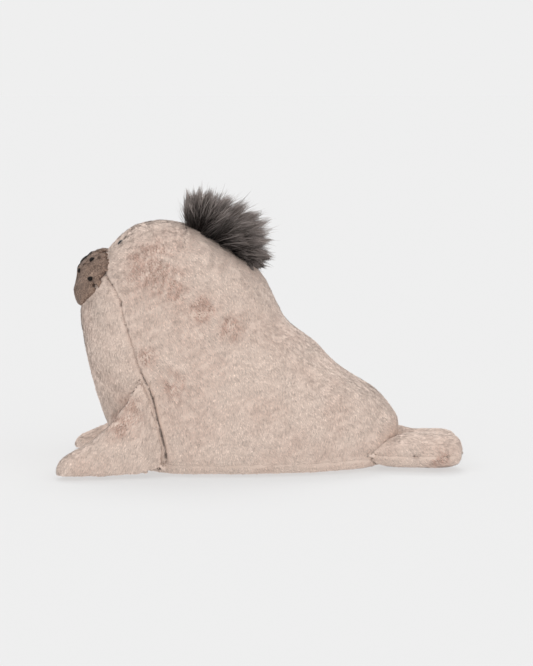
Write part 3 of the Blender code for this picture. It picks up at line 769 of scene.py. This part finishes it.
def blades(name, points, normals, ways, lengths, widths, tones, coat, rng):
    """A piece of pile: each blade is two triangles, wide in the middle and bent over."""
    count = len(points)
    rise = np.radians(coat.rise + rng.normal(0.0, 5.0, count))[:, None]
    tuck = np.radians(coat.tuck + rng.normal(0.0, 4.0, count))[:, None]
    twist = rng.normal(0.0, 0.12, count)[:, None]
    lengths = lengths[:, None]
    across = np.cross(ways, normals)
    across = across * np.cos(twist) + normals * np.sin(twist)
    pull = np.stack([soft_noise(points, 0.0042, 90 + k) for k in range(3)], axis=1) * coat.pull
    root = points - normals * BLADE_ROOT
    middle = root + (normals * np.sin(rise) + ways * np.cos(rise)) * lengths * 0.48 + pull * 0.4
    tip = middle + (normals * np.sin(tuck) + ways * np.cos(tuck)) * lengths * 0.52 + pull
    half = across * widths[:, None] / 2
    verts = np.stack((root, middle - half, middle + half, tip), axis=1)
    verts[:, :, 2] = np.maximum(verts[:, :, 2], PILE_FLOOR)
    start = (np.arange(count) * 4)[:, None, None]
    faces = start + np.array(((0, 2, 1), (1, 2, 3)))
    mesh = mesh_of(name, verts, faces)
    write_values(mesh, "tone", np.repeat(tones, 4))
    write_values(mesh, "reach", np.tile((0.0, 0.62, 0.62, 1.0), count))
    root_spot, left, right, tip_spot = (0.5, 0.04), (0.06, 0.5), (0.94, 0.5), (0.5, 0.96)
    lay_out(mesh, count, (root_spot, right, left, left, right, tip_spot))
    face_outwards(mesh, np.repeat(normals, 4, axis=0))
    return new_object(name, mesh)


def write_values(mesh, name, values):
    attribute = mesh.attributes.new(name, "FLOAT", "POINT")
    attribute.data.foreach_set("value", np.asarray(values, np.float32))


def face_outwards(mesh, normals):
    """Shades blades with the normal of the skin that they stand on, on both their sides."""
    mesh.polygons.foreach_set("use_smooth", np.ones(len(mesh.polygons), bool))
    mesh.normals_split_custom_set_from_vertices(normals.tolist())
    attribute = mesh.attributes.new("outward", "FLOAT_VECTOR", "POINT")
    attribute.data.foreach_set("vector", np.asarray(normals, np.float32).ravel())


def tones_of(points, seed, rng):
    """Lighter and darker blades, in small locks."""
    fine = 0.26 * soft_noise(points, 0.0009, seed, 40) + 0.06 * soft_noise(points, 0.0040, seed + 1)
    return 0.5 + fine + rng.normal(0.0, 0.20, len(points))


def grow(name, form, chosen, coat, lean, seed, clear, swirl=0.20, short=0.5):
    """The pile of a part of a form. lean gives its way at points, clear tells which may bear it."""
    share = bpy.context.scene.plush_sizes.pile
    rng = np.random.default_rng(seed)
    count = max(int(areas_of(form, chosen).sum() * coat.density * share), 10)
    points, normals, seam = scatter(form, chosen, count, rng)
    held = clear(points, normals)
    points, normals, seam = points[held], normals[held], seam[held]
    ways = lay(points, normals, lean(points), swirl, seed)
    length = coat.length * rng.uniform(0.75, 1.2, len(points))
    length *= short + (1 - short) * ease(seam / 0.010)
    width = coat.width * rng.uniform(0.7, 1.25, len(points))
    nap_shade = nap_shade_share(points, seed)
    specks = soft_noise(points, 0.0008, seed + 9, 40) > 0.60
    # Painted shade: blades close to a seam, to the dart of the first fold or to a flipper's root
    # are darkened, standing in for the shade in the groove
    dart = line_distance(points[:, (0, 2)], FOLDS[0][1])
    seam = np.minimum(seam, dart * 0.6)
    tones = tones_of(points, seed + 5, rng) - 0.9 * bell(seam / 0.0012)
    # Darker specks: random ones, and many more in the spots of painted nap shade
    tones -= specks * (0.08 + 0.75 * nap_shade)
    piece = blades(name, points, normals, ways, length, width, tones, coat, rng)
    write_values(piece.data, "nap_shade", np.repeat(nap_shade, 4))
    return piece


def nap_shade_share(points, seed):
    """How much rosier colour and painted nap shade the pile has, in soft spots on both sides."""
    share = np.zeros(len(points))
    for spot, reach in NAP_SHADE_SPOTS:
        share = np.maximum(share, bell(lengths_of(points[:, (0, 2)] - spot) / reach))
    ragged = 0.75 + 0.25 * soft_noise(points, 0.006, seed + 3)
    return np.clip(share * ragged, 0.0, 1.0) * (np.abs(points[:, 1]) > 0.02)


def body_lean(points):
    """The body's pile lies away from the muzzle over the head, then down and back."""
    away = points - PARTING
    over = ease(1.5 - lengths_of(away) / PARTING_REACH)[:, None]
    lean = np.array((0.30, 0.0, -1.0)) * (1 - over) + unit(away) * over
    rump = ease((points[:, 0] - 0.07) / 0.06)[:, None]
    return lean * (1 - rump) + np.array((0.9, 0.0, -0.8)) * rump


class SEALION_OT_body(bpy.types.Operator):
    """Makes the body's four sewn skins"""

    bl_idname = "sealion.body"
    bl_label = "Body"

    def execute(self, context):
        sizes, colours = context.scene.plush_sizes, context.scene.plush_colours
        body = remeshed("body_form", BODY_PANELS + ("body_filling",), BODY_VOXEL)
        trees = [tree_of(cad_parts[name]) for name in BODY_PANELS]
        points = points_of(body)
        _, _, seam = seam_distances(points, trees)
        inset(body, sizes.body_inset)
        puff(body, (seam < 0.006) | (points[:, 2] < 0.004))
        smooth_points(body, 4)
        apply_modifier(body, "SUBSURF", levels=1, render_levels=1)
        points, normals = shape_of(body)
        label, other, _ = seam_distances(points + normals * sizes.body_inset, trees)
        sharp = (points[:, 2] > RIM_TOP) & ((label > 1) | (other > 1))
        points[sharp] = snapped(points[sharp], normals[sharp], trees, sizes.body_inset, BODY_SNAP)
        label, other, seam = seam_distances(points + normals * sizes.body_inset, trees)
        drawn = pucker(points, seam, sizes.seam_depth, sizes.seam_width)
        back = (label < 2) & (other < 2)
        base = (label == 3) | (other == 3)
        drawn *= 1 - BACK_SOFTNESS * back - BASE_SOFTNESS * base
        drawn[points[:, 2] < 0.003] = 0.0
        drawn += fold_depths(points, normals) - 0.0003 * soft_noise(points, 0.030, 31)
        for _, word in SIDES:
            away = lengths_of(points - middle_of(f"{word}_eye"))
            drawn += EYE_DIMPLE * np.exp(-((away / EYE_DIMPLE_REACH) ** 4))
        moved = points - normals * drawn[:, None]
        moved[:, 2] = np.maximum(moved[:, 2], SKIN_FLOOR)
        move_points(body, moved)
        form = Form(body)
        # form.seam sets where the backing and the pile are painted darker, as the seams' shade
        form.seam, form.label = seam + self.faintness(points, back, base), label
        forms["body"] = form
        skin = skin_finish("plush_backing", colours.beige, colours.ground, 26.0)
        skins = split_skin(body, label, form.seam, [n + "_skin" for n in BODY_PANELS])
        for piece, name in zip(skins, BODY_PANELS):
            keep(piece, skin, (name,))
        return {"FINISHED"}

    def faintness(self, points, back, base):
        """What is added to a seam's distance, to make its painted shade and its shorter pile faint
        up the chest, behind and below.
        """
        faint = 0.0014 * ease((points[:, 2] - 0.092) / 0.02) + 0.0030 * back
        return faint + base * (0.0034 - 0.0022 * ease((points[:, 0] - 0.02) / 0.05))


def outside(form, points):
    """Which points lie outside a closed form or barely under its surface."""
    _, _, heights = form.nearest(points)
    return heights > -BARELY_UNDER


def buried(form, points, ways):
    """Which points on a skin lie inside another form or close under its surface."""
    held = np.zeros(len(points), bool)
    for i, (point, way) in enumerate(zip(points, ways)):
        place, normal, _, far = form.tree.ray_cast(Vector(point), Vector(way), 0.06)
        if place is not None:
            held[i] = far > DEEP_IN if normal.dot(Vector(way)) > 0 else far < CLOSE_UNDER
    return held


class SEALION_OT_body_pile(bpy.types.Operator):
    """Grows the pile of the body, clear of the eyes, the muzzle and the flippers"""

    bl_idname = "sealion.body_pile"
    bl_label = "Body pile"

    def execute(self, context):
        colours = context.scene.plush_colours
        form = forms["body"]
        middle = form.points[form.triangles].mean(axis=1)
        panel = form.label[form.triangles[:, 0]]
        finish = pile_finish("plush_pile", colours.beige, colours.rose, colours.ground, 24.0, 0.36)
        covers = [made for name, made in forms.items() if name != "body"]
        eyes = [middle_of(f"{word}_eye") for _, word in SIDES]

        def clear(points, normals):
            held = np.min([lengths_of(points - eye) for eye in eyes], axis=0) > EYE_CLEAR
            for part in covers:
                low, high = part.points.min(axis=0) - 0.004, part.points.max(axis=0) + 0.004
                near = np.nonzero(((points > low) & (points < high)).all(axis=1))[0]
                held[near] &= ~buried(part, points[near], normals[near])
            return held

        ahead, low = middle[:, 0] < SIDE_PARTING, middle[:, 2] <= BASE_TOP
        zones = (
            ("left_side_front_pile", (panel == 0) & ahead, BODY_COAT, 11),
            ("left_side_back_pile", (panel == 0) & ~ahead, BODY_COAT, 12),
            ("right_side_front_pile", (panel == 1) & ahead, BODY_COAT, 13),
            ("right_side_back_pile", (panel == 1) & ~ahead, BODY_COAT, 14),
            ("chest_pile", panel == 2, BODY_COAT, 15),
            ("rim_pile", (panel == 3) & ~low, BODY_COAT, 17),
            ("base_pile", (panel == 3) & low, BASE_COAT, 16),
        )
        for name, chosen, coat, seed in zones:
            piece = grow(name, form, chosen, coat, body_lean, seed, clear)
            keep(piece, finish)
        return {"FINISHED"}


class SEALION_OT_flippers(bpy.types.Operator):
    """Makes the four flippers, tucked into the body at their roots, and their pile"""

    bl_idname = "sealion.flippers"
    bl_label = "Flippers"

    def execute(self, context):
        sizes, colours = context.scene.plush_sizes, context.scene.plush_colours
        finishes = (
            skin_finish("flipper_backing", colours.beige, colours.ground, 26.0),
            pile_finish("flipper_pile", colours.beige, colours.rose, colours.ground, 24.0, 0.36),
            fibre_finish("flipper_fibre", colours.filling),
        )
        kinds = (("front", ("outer", "inner")), ("tail", ("upper", "lower")))
        seed = 40
        for side, word in SIDES:
            for kind, faces in kinds:
                seed += 10
                self.make_one(side, f"{word}_{kind}_flipper", kind, faces, seed, finishes, sizes)
        return {"FINISHED"}

    def make_one(self, side, name, kind, faces, seed, finishes, sizes):
        nodes = [f"{name}_{face}" for face in faces]
        obj = remeshed(name, nodes + [f"{name}_filling"], FLIPPER_VOXEL)
        trees = [tree_of(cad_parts[node]) for node in nodes]
        points = points_of(obj)
        _, _, seam = seam_distances(points, trees)
        smooth_points(obj, 2)
        inset(obj, sizes.flipper_inset)
        puff(obj, (seam < 0.004) | (points[:, 2] < 0.004))
        smooth_points(obj, 2)
        apply_modifier(obj, "SUBSURF", levels=1, render_levels=1)
        points, normals = shape_of(obj)
        points = snapped(points, normals, trees, sizes.flipper_inset, FLIPPER_SNAP)
        label, _, seam = seam_distances(points + normals * sizes.flipper_inset, trees)
        depth = sizes.seam_depth * RIM_SEAM_SHARE
        points -= normals * pucker(points, seam, depth, sizes.seam_width)[:, None]
        points, root = self.tucked(points, kind, label)
        if name == "right_front_flipper":
            lowered = ease((RIGHT_FRONT_TIP - points[:, 0]) / 0.045)
            points[:, 2] *= 1 - RIGHT_FRONT_FLATTER * lowered
            points[:, 0] += RIGHT_FRONT_BACK * lowered
        if name == "right_tail_flipper":
            lowered = ease((points[:, 0] - RIGHT_TAIL_TIP) / 0.03)
            points[:, 2] *= 1 - RIGHT_TAIL_FLATTER * lowered
        points[:, 2] = np.maximum(points[:, 2], SKIN_FLOOR)
        move_points(obj, points)
        form = Form(obj)
        # Near the root, and faintly near a rim seam, the backing and the pile are painted darker,
        # standing in for the shade in the crevice
        form.seam, form.label = np.minimum(seam + 0.0034, root), label
        forms[name] = form
        lean = np.array(FRONT_LEAN if kind == "front" else TAIL_LEAN) * (1.0, side, 1.0)
        piece = grow(
            f"{name}_pile", form, np.ones(len(form.triangles), bool), FLIPPER_COAT,
            lambda p: np.repeat(lean[None], len(p), axis=0), seed,
            lambda p, _: outside(forms["body"], p), swirl=0.18, short=0.62,
        )
        keep(piece, finishes[1])
        stuffing = self.stuffing(f"{name}_stuffing", obj, kind)
        keep(stuffing, finishes[2], (f"{name}_filling",))
        skins = split_skin(obj, label, form.seam, [n + "_skin" for n in nodes])
        for skin, node in zip(skins, nodes):
            keep(skin, finishes[0], (node,))

    def stuffing(self, name, skin, kind):
        """The fibre filling inside a flipper, ending short of its tucked root."""
        obj = new_object(name, skin.data.copy())
        inset(obj, SKIN_THICKNESS + 0.0006)
        low, high = SHOULDER_SEAM[0], SHOULDER_SEAM[-1]
        place, way = (TAIL_STUFFING, 0.0, 0.0), (-1.0, 0.0, 0.0)
        if kind == "front":
            place = (low[1] - FRONT_STUFFING, 0.0, low[0])
            way = (high[0] - low[0], 0.0, low[1] - high[1])
        only(obj)
        bpy.ops.object.mode_set(mode="EDIT")
        bpy.ops.mesh.select_all(action="SELECT")
        bpy.ops.mesh.bisect(plane_co=place, plane_no=way, use_fill=True, clear_outer=True)
        bpy.ops.object.mode_set(mode="OBJECT")
        apply_modifier(obj, "DECIMATE", ratio=0.35)
        return obj

    def tucked(self, points, kind, label):
        """Draws the root of a flipper into the body, as the seam does."""
        if kind == "front":
            heights, places = zip(*SHOULDER_SEAM)
            ahead = np.interp(points[:, 2], heights, places) - points[:, 0]
            share = 0.15 + 0.85 * ease((points[:, 2] - 0.008) / 0.02)
            share *= ease(1 - ahead / ROOT_AHEAD)
            close = np.nonzero(share > 0)[0]
            spots, ways, _ = forms["body"].nearest(points[close])
            over = np.where(label[close] == 0, 0.0026 * ease(ahead[close] / 0.005), 0.0)
            goal = spots + ways * (over - ROOT_UNDER)[:, None]
            goal[:, 0] += 0.002 * ease(1 - ahead[close] / 0.006)
            points[close] += (goal - points[close]) * share[close][:, None]
            return points, np.maximum(ahead, 0.0)
        root = np.full(len(points), 1.0)
        close = np.nonzero(points[:, 0] < 0.165)[0]
        _, _, height = forms["body"].nearest(points[close])
        share = ease(1 - height / 0.013)
        points[close, 0] -= TAIL_ROOT_IN * share
        points[close, 1] *= 1 - TAIL_ROOT_NARROWER * share
        points[close, 2] += (TAIL_ROOT_HEIGHT - points[close, 2]) * 0.35 * share
        _, _, height = forms["body"].nearest(points[close])
        root[close] = np.maximum(height, 0.0) + 0.0007
        return points, root


class SEALION_OT_muzzle(bpy.types.Operator):
    """Makes the muzzle's domed skin and its short pile"""

    bl_idname = "sealion.muzzle"
    bl_label = "Muzzle"

    def execute(self, context):
        sizes, colours = context.scene.plush_sizes, context.scene.plush_colours
        obj = remeshed("muzzle_form", ("muzzle_panel", "muzzle_filling"), MUZZLE_VOXEL)
        smooth_points(obj, 2)
        inset(obj, sizes.muzzle_inset)
        apply_modifier(obj, "SUBSURF", levels=1, render_levels=1)
        points, ways, height = self.laid(obj)
        move_points(obj, points)
        smooth_points(obj, 10)
        inset(obj, -MUZZLE_LET_OUT)
        only(obj)
        bpy.ops.object.shade_smooth()
        form = Form(obj)
        form.seam = np.maximum(height - 0.001, 0.0) * 1.6 + 0.003
        forms["muzzle"] = form
        out = (form.normals * -ways).sum(axis=1) < 0.15
        chosen = out[form.triangles].all(axis=1)
        skin = skin_finish("muzzle_backing", colours.brown, colours.umber, 40.0)
        finish = pile_finish("muzzle_pile", colours.brown, colours.umber, colours.umber, 60.0, 0.42)
        patches = ["nose_embroidery"] + [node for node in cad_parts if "whisker_dot" in node]
        sewn = [patch_of(node) for node in patches]
        piece = grow(
            "muzzle_short_pile", form, chosen, MUZZLE_COAT, self.lean, 31,
            lambda p, _: self.bare_of(p, sewn),
        )
        keep(piece, finish)
        keep(obj, skin, ("muzzle_panel",))
        return {"FINISHED"}

    def lean(self, points):
        """The muzzle's pile lies back and down, and out to the sides."""
        back, down = np.full(len(points), 0.8), np.full(len(points), -0.7)
        return np.stack((back, points[:, 1] * 12.0, down), axis=1)

    def laid(self, obj):
        """The muzzle's points laid on the head and shaped, the head's normals and the heights."""
        points, normals = shape_of(obj)
        _, ways, height = forms["body"].nearest(points)
        low, high = (np.array(corner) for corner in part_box("muzzle_panel"))
        middle = (low + high) / 2
        share = lengths_of(((points - middle) / ((high - low) / 2))[:, 1:])
        back = ease(0.5 - (normals * ways).sum(axis=1) * 2)
        wider = middle + (points - ways * height[:, None] - middle) * MUZZLE_SCALE + MUZZLE_LIFT
        spots, ways, _ = forms["body"].nearest(wider)
        height -= MUZZLE_RIM_PULL * np.maximum(ease((share - 0.90) / 0.12), back)
        points = spots + ways * height[:, None]
        off = lengths_of((points - middle_of("nose_embroidery"))[:, 1:] / (0.0110, 0.0080))
        points += normals * (0.00020 * soft_noise(points, 0.009, 21))[:, None]
        above = ease((points[:, 2] - MUZZLE_FULL_FROM) / 0.018) * (1 - back)
        above *= ease((1.02 - share) / 0.3)
        above *= 1 - 0.55 * ease((points[:, 2] - MUZZLE_FULL_TO) / 0.009)
        points += above[:, None] * MUZZLE_FULLNESS
        below = ease((MUZZLE_FLAT_BELOW - points[:, 2]) / 0.012)
        points[:, 0] += MUZZLE_FLATNESS * below * (1 - back)
        points -= ways * (NOSE_DIP * np.exp(-(off**4)) * (1 - back))[:, None]
        return points, ways, height

    def bare_of(self, points, sewn):
        """Which points lie clear of the embroidered patches."""
        held = np.ones(len(points), bool)
        for middle, upward, sideways, half_tall, half_wide in sewn:
            off = points - middle
            across, along = off @ sideways / half_wide, off @ upward / half_tall
            held &= across**2 + along**2 > BARE_SHARE**2
        return held


def thread_tube(path, radius, sides=6):
    """The points and faces of one thread along a path, closed at both ends."""
    path = np.array(path)
    along = unit(np.gradient(path, axis=0))
    first = unit(np.cross(along, (0.3, 0.9, 0.2)))
    second = np.cross(along, first)
    turns = np.arange(sides) * 2 * math.pi / sides
    taper = np.ones(len(path))
    taper[[0, -1]] = 0.45
    cosine, sine = np.cos(turns)[:, None], np.sin(turns)[:, None]
    ring = cosine * first[:, None] + sine * second[:, None]
    points = (path[:, None] + ring * (radius * taper)[:, None, None]).reshape(-1, 3)
    points = np.concatenate((points, path[:1], path[-1:]))
    faces, last = [], (len(path) - 1) * sides
    for k in range(sides):
        n = (k + 1) % sides
        for i in range(len(path) - 1):
            a, b = i * sides, (i + 1) * sides
            faces += [(a + k, a + n, b + n), (a + k, b + n, b + k)]
        faces.append((len(points) - 2, n, k))
        faces.append((len(points) - 1, last + k, last + n))
    return points, np.array(faces)


def patch_of(node):
    """A CAD patch's place on the muzzle's skin: its middle, two ways and half its size in each."""
    low, high = (np.array(corner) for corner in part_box(node))
    middle, normal, _ = (found[0] for found in forms["muzzle"].nearest([(low + high) / 2]))
    upward = unit(UP - normal * normal[2])
    sideways = np.cross(normal, upward)
    half = (high - low) / 2
    half_wide = half @ np.abs(sideways) * (NOSE_WIDTH if node == "nose_embroidery" else 1.0)
    return middle, upward, sideways, half @ np.abs(upward), half_wide


def satin(name, node, gap, radius, rise):
    """A patch of satin stitches over the place of a CAD patch: threads laid side by side."""
    middle, upward, sideways, half_tall, half_wide = patch_of(node)
    points, faces, offset = [], [], 0
    rows = max(int(2 * half_wide / gap), 3)
    for i in range(rows):
        across = 2 * (i + 0.5) / rows - 1
        reach = math.sqrt(1 - across * across)
        along = np.linspace(-1.0, 1.0, 9)
        flat = middle + sideways * across * half_wide + np.outer(along * reach * half_tall, upward)
        spots, ways, _ = forms["muzzle"].nearest(flat)
        dome = rise * (1 - 0.7 * along**2) * (0.35 + 0.65 * reach)
        dome[[0, -1]] = -0.0004
        own, skin = thread_tube(spots + ways * dome[:, None], radius)
        points.append(own)
        faces.append(skin + offset)
        offset += len(own)
    return new_object(name, mesh_of(name, np.concatenate(points), np.concatenate(faces)))


class SEALION_OT_face(bpy.types.Operator):
    """Makes the embroidered nose and whisker dots, and the domed eyes"""

    bl_idname = "sealion.face"
    bl_label = "Nose, dots and eyes"

    def execute(self, context):
        thread = thread_finish(context.scene.plush_colours)
        nose = satin("nose_satin", "nose_embroidery", *NOSE_STITCH)
        keep(nose, thread, ("nose_embroidery",))
        for _, word in SIDES:
            for number in (1, 2, 3):
                node = f"{word}_whisker_dot_{number}"
                dot = satin(f"{word}_dot_{number}_satin", node, *DOT_STITCH)
                keep(dot, thread, (node,))
        bead = bead_finish()
        for _, word in SIDES:
            keep(self.eye(word), bead, (f"{word}_eye",))
        return {"FINISHED"}

    def eye(self, word):
        """A domed bead, a sphere flattened more below than above, at the place and slant of its CAD
        node.
        """
        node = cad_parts[f"{word}_eye"]
        points, _ = shape_of(node)
        _, normals, _ = forms["body"].nearest([points.mean(axis=0)])
        axis = self.axis_of(points, normals[0])
        heights = points @ axis
        top = heights.max()
        spread = points - np.outer(heights, axis)
        centre = spread[heights > top - 0.0004].mean(axis=0)
        radius = lengths_of(spread - centre).max()
        bpy.ops.object.select_all(action="DESELECT")
        bpy.ops.mesh.primitive_uv_sphere_add(segments=40, ring_count=24, radius=radius)
        obj = bpy.context.object
        obj.name = f"{word}_eye_bead"
        local, _ = shape_of(obj)
        below = local[:, 2] < 0
        local[:, 2] *= EYE_DOME / radius
        local[below, 2] *= EYE_UNDERSIDE
        turn = np.array(Vector((0, 0, 1)).rotation_difference(Vector(axis)).to_matrix())
        place = centre + axis * (top - EYE_DOME - EYE_SINK)
        move_points(obj, local @ turn.T + place)
        obj.matrix_world.identity()
        only(obj)
        bpy.ops.object.shade_smooth()
        return obj

    def axis_of(self, points, near):
        """The bead's own axis: of the main ways in which its points spread, the one nearest to the
        skin's normal.
        """
        centred = points - points.mean(axis=0)
        _, _, ways = np.linalg.svd(centred, full_matrices=False)
        best = max(ways, key=lambda way: abs(way @ near))
        return best * np.sign(best @ near)


class SEALION_OT_tuft(bpy.types.Operator):
    """Grows the tuft's long strands in locks along the back of the head"""

    bl_idname = "sealion.tuft"
    bl_label = "Tuft"

    def execute(self, context):
        sizes = context.scene.plush_sizes
        rng = np.random.default_rng(7)
        locks = sizes.locks
        share = rng.random(locks)
        across = np.clip(rng.normal(0.0, 0.52, locks), -1.0, 1.0)
        at = np.linspace(0.0, 1.0, len(TUFT_LINE))
        x, z = (np.interp(share, at, values) for values in zip(*TUFT_LINE))
        middle = np.stack((x, across * TUFT_HALF_WIDTH, z), axis=1)
        roots, normals, _ = forms["body"].nearest(middle)
        at, leans, reaches = zip(*TUFT_FAN)
        loose = rng.normal(0.0, 10.0, locks) * (0.4 + share)
        lean = np.radians(np.interp(share, at, leans) + loose)
        tilt = np.radians(40.0) * across + rng.normal(0.0, 0.14, locks)
        flat = np.cos(tilt)
        ways = np.stack((np.sin(lean) * flat, np.sin(tilt), np.cos(lean) * flat), axis=1)
        reach = np.interp(share, at, reaches) * rng.uniform(0.72, 1.12, locks)
        reach *= 1 - 0.12 * across**2
        own = rng.integers(0, locks, sizes.strands)
        piece = self.strands(own, roots, normals, ways, reach, rng)
        keep(piece, tuft_finish(context.scene.plush_colours), ("tuft",))
        return {"FINISHED"}

    def strands(self, own, roots, normals, ways, reach, rng):
        count = len(own)
        start = roots[own] + rng.normal(0.0, 0.0026, (count, 3))
        way = unit(ways[own] + rng.normal(0.0, 0.15, (count, 3)))
        length = reach[own] * rng.uniform(0.60, 1.04, count)
        goal = roots[own] + ways[own] * (reach[own] * 0.95)[:, None]
        steps = np.linspace(0.0, 1.0, 5)
        wave = rng.normal(0.0, 0.0011, (count, 3))
        loose = (rng.random(count) > 0.14)[:, None]
        droop = 0.10 * np.abs(way[:, 0]) + 0.02
        lines = []
        for t in steps:
            at = start + way * (length * t)[:, None]
            gather = 0.92 * t**1.2 * loose
            toward = roots[own] + (goal - roots[own]) * (length / reach[own] * t)[:, None]
            at = at * (1 - gather) + toward * gather + wave * math.sin(math.pi * t)
            at[:, 2] -= droop * length * t * t
            lines.append(at - normals[own] * 0.001 * (1 - t))
        lines = np.stack(lines, axis=1)
        along = unit(lines[:, -1] - lines[:, 0])
        across = unit(np.cross(along, unit(rng.normal(size=(count, 3)))))
        aside = across[:, None] * STRAND_WIDTHS[None, :, None]
        left, right = lines[:, :4] - aside, lines[:, :4] + aside
        verts = np.concatenate((left, right, lines[:, 4:]), axis=1)
        quads = []
        for i in range(3):
            quads += [(i, i + 4, i + 5), (i, i + 5, i + 1)]
        quads.append((3, 7, 8))
        base = (np.arange(count) * 9)[:, None, None]
        faces = base + np.array(quads)
        mesh = mesh_of("tuft_strands", verts, faces)
        tones = 0.5 + 0.22 * rng.normal(size=count) + 0.25 * rng.normal(size=len(reach))[own]
        write_values(mesh, "tone", np.repeat(np.clip(tones, 0.0, 1.2), 9))
        level = np.concatenate((steps[:4], steps[:4], steps[4:]))
        write_values(mesh, "reach", np.tile(level, count))
        aside, up = np.repeat((0.1, 0.9, 0.5), (4, 4, 1)), 0.04 + level * 0.9
        up[-1] = 0.96
        spots = np.stack((aside, up), axis=1)
        lay_out(mesh, count, spots[np.array(quads).ravel()])
        facing = unit(np.cross(across, along) * 0.5 + normals[own] + ways[own] * 0.4)
        face_outwards(mesh, np.repeat(facing, 9, axis=0))
        return new_object("tuft_strands", mesh)


class SEALION_OT_hidden(bpy.types.Operator):
    """Gives the fillings, the pellet pouch and the eye washers their materials"""

    bl_idname = "sealion.hidden"
    bl_label = "Inner pieces"

    def execute(self, context):
        fibre = fibre_finish("fibre_filling", context.scene.plush_colours.filling)
        pouch, plastic = pouch_finish(), washer_finish()
        for name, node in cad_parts.items():
            if name.endswith("_filling"):
                self.dress(node, fibre)
            elif name == "pellet_pouch":
                self.dress(node, pouch)
            elif name.endswith("_washer"):
                self.dress(node, plastic)
        return {"FINISHED"}

    def dress(self, node, material):
        for slot in node.material_slots:
            slot.material = material


class SEALION_OT_stage(bpy.types.Operator):
    """Sets up the pale floor, the soft lights and the camera"""

    bl_idname = "sealion.stage"
    bl_label = "Studio"

    def execute(self, context):
        paper = context.scene.plush_colours.paper
        context.scene.view_settings.view_transform = "Standard"
        bpy.ops.object.select_all(action="DESELECT")
        bpy.ops.mesh.primitive_plane_add(size=60.0, location=(0.0, 0.0, -0.0004))
        floor = context.object
        floor.name = "floor"
        floor.data.materials.append(self.floor_finish(paper))
        self.world(paper)
        for lamp in LAMPS:
            self.lamp(*lamp)
        self.camera()
        return {"FINISHED"}

    def floor_finish(self, paper):
        made = finish_named("floor_paper")
        diffuse = made.add("ShaderNodeBsdfDiffuse", None, {"Color": (0.70, 0.70, 0.70, 1.0)})
        glow = made.add("ShaderNodeEmission", None, {"Color": paper})
        # The floor glows for all rays but the camera's, a fill light from below. The camera sees it
        # evenly pale, keeping part of the shadow.
        fill_glow = made.add("ShaderNodeEmission", None, {"Color": paper, "Strength": FLOOR_FILL_GLOW})
        seen = made.add("ShaderNodeMixShader", None, {0: 0.62, 1: diffuse, 2: glow})
        lit = made.add("ShaderNodeMixShader", None, {0: 0.5, 1: diffuse, 2: fill_glow})
        camera = made.add("ShaderNodeLightPath", out="Is Camera Ray")
        mixed = made.add("ShaderNodeMixShader", None, {0: camera, 1: lit, 2: seen})
        made.add("ShaderNodeOutputMaterial", None, {"Surface": mixed})
        return made.owner

    def world(self, paper):
        world = bpy.data.worlds.new("studio")
        bpy.context.scene.world = world
        made = Recipe(world)
        seen = made.add("ShaderNodeLightPath", out="Is Camera Ray")
        for ray in ("Is Glossy Ray", "Is Transmission Ray"):
            seen = seen.maths("MAXIMUM", seen, made.add("ShaderNodeLightPath", out=ray))
        white = {"Color": (1.0, 1.0, 1.0, 1.0), "Strength": SURROUNDINGS}
        light = made.add("ShaderNodeBackground", None, white)
        back = made.add("ShaderNodeBackground", None, {"Color": paper})
        mixed = made.add("ShaderNodeMixShader", None, {0: seen, 1: light, 2: back})
        made.add("ShaderNodeOutputWorld", None, {"Surface": mixed})

    def lamp(self, name, strength, turn, softness):
        data = bpy.data.lights.new(name, "SUN")
        data.energy = strength
        data.angle = math.radians(softness)
        lamp = bpy.data.objects.new(name, data)
        lamp.rotation_euler = [math.radians(angle) for angle in turn]
        bpy.context.scene.collection.objects.link(lamp)

    def camera(self):
        slope = math.radians(CAMERA_SLOPE)
        back = Vector((0.0, -math.cos(slope), math.sin(slope)))
        data = bpy.data.cameras.new("camera")
        data.sensor_width = SENSOR_WIDTH
        data.lens = SENSOR_WIDTH * CAMERA_DISTANCE / CAMERA_VIEW
        camera = bpy.data.objects.new("camera", data)
        camera.location = Vector(CAMERA_AIM) + back * CAMERA_DISTANCE
        camera.rotation_euler = (-back).to_track_quat("-Z", "Y").to_euler()
        bpy.context.scene.collection.objects.link(camera)
        bpy.context.scene.camera = camera


OPERATORS = (
    SEALION_OT_body,
    SEALION_OT_muzzle,
    SEALION_OT_flippers,
    SEALION_OT_body_pile,
    SEALION_OT_face,
    SEALION_OT_tuft,
    SEALION_OT_hidden,
    SEALION_OT_stage,
)


class SEALION_PT_panel(bpy.types.Panel):
    """Lists the sea lion's sizes, colours and steps"""

    bl_idname = "SEALION_PT_panel"
    bl_label = "Plush sea lion"
    bl_space_type = "VIEW_3D"
    bl_region_type = "UI"
    bl_category = "Sea lion"

    def draw(self, context):
        for group in (context.scene.plush_sizes, context.scene.plush_colours):
            for name in group.__annotations__:
                self.layout.prop(group, name)
        for operator in OPERATORS:
            self.layout.operator(operator.bl_idname)


CLASSES = (PlushSizes, PlushColours, *OPERATORS, SEALION_PT_panel)


def register():
    for cls in CLASSES:
        bpy.utils.register_class(cls)
    bpy.types.Scene.plush_sizes = PointerProperty(type=PlushSizes)
    bpy.types.Scene.plush_colours = PointerProperty(type=PlushColours)


def unregister():
    del bpy.types.Scene.plush_colours
    del bpy.types.Scene.plush_sizes
    for cls in reversed(CLASSES):
        bpy.utils.unregister_class(cls)


def main():
    register()
    for operator in OPERATORS:
        group, name = operator.bl_idname.split(".")
        getattr(getattr(bpy.ops, group), name)()


if __name__ == "__main__":
    main()
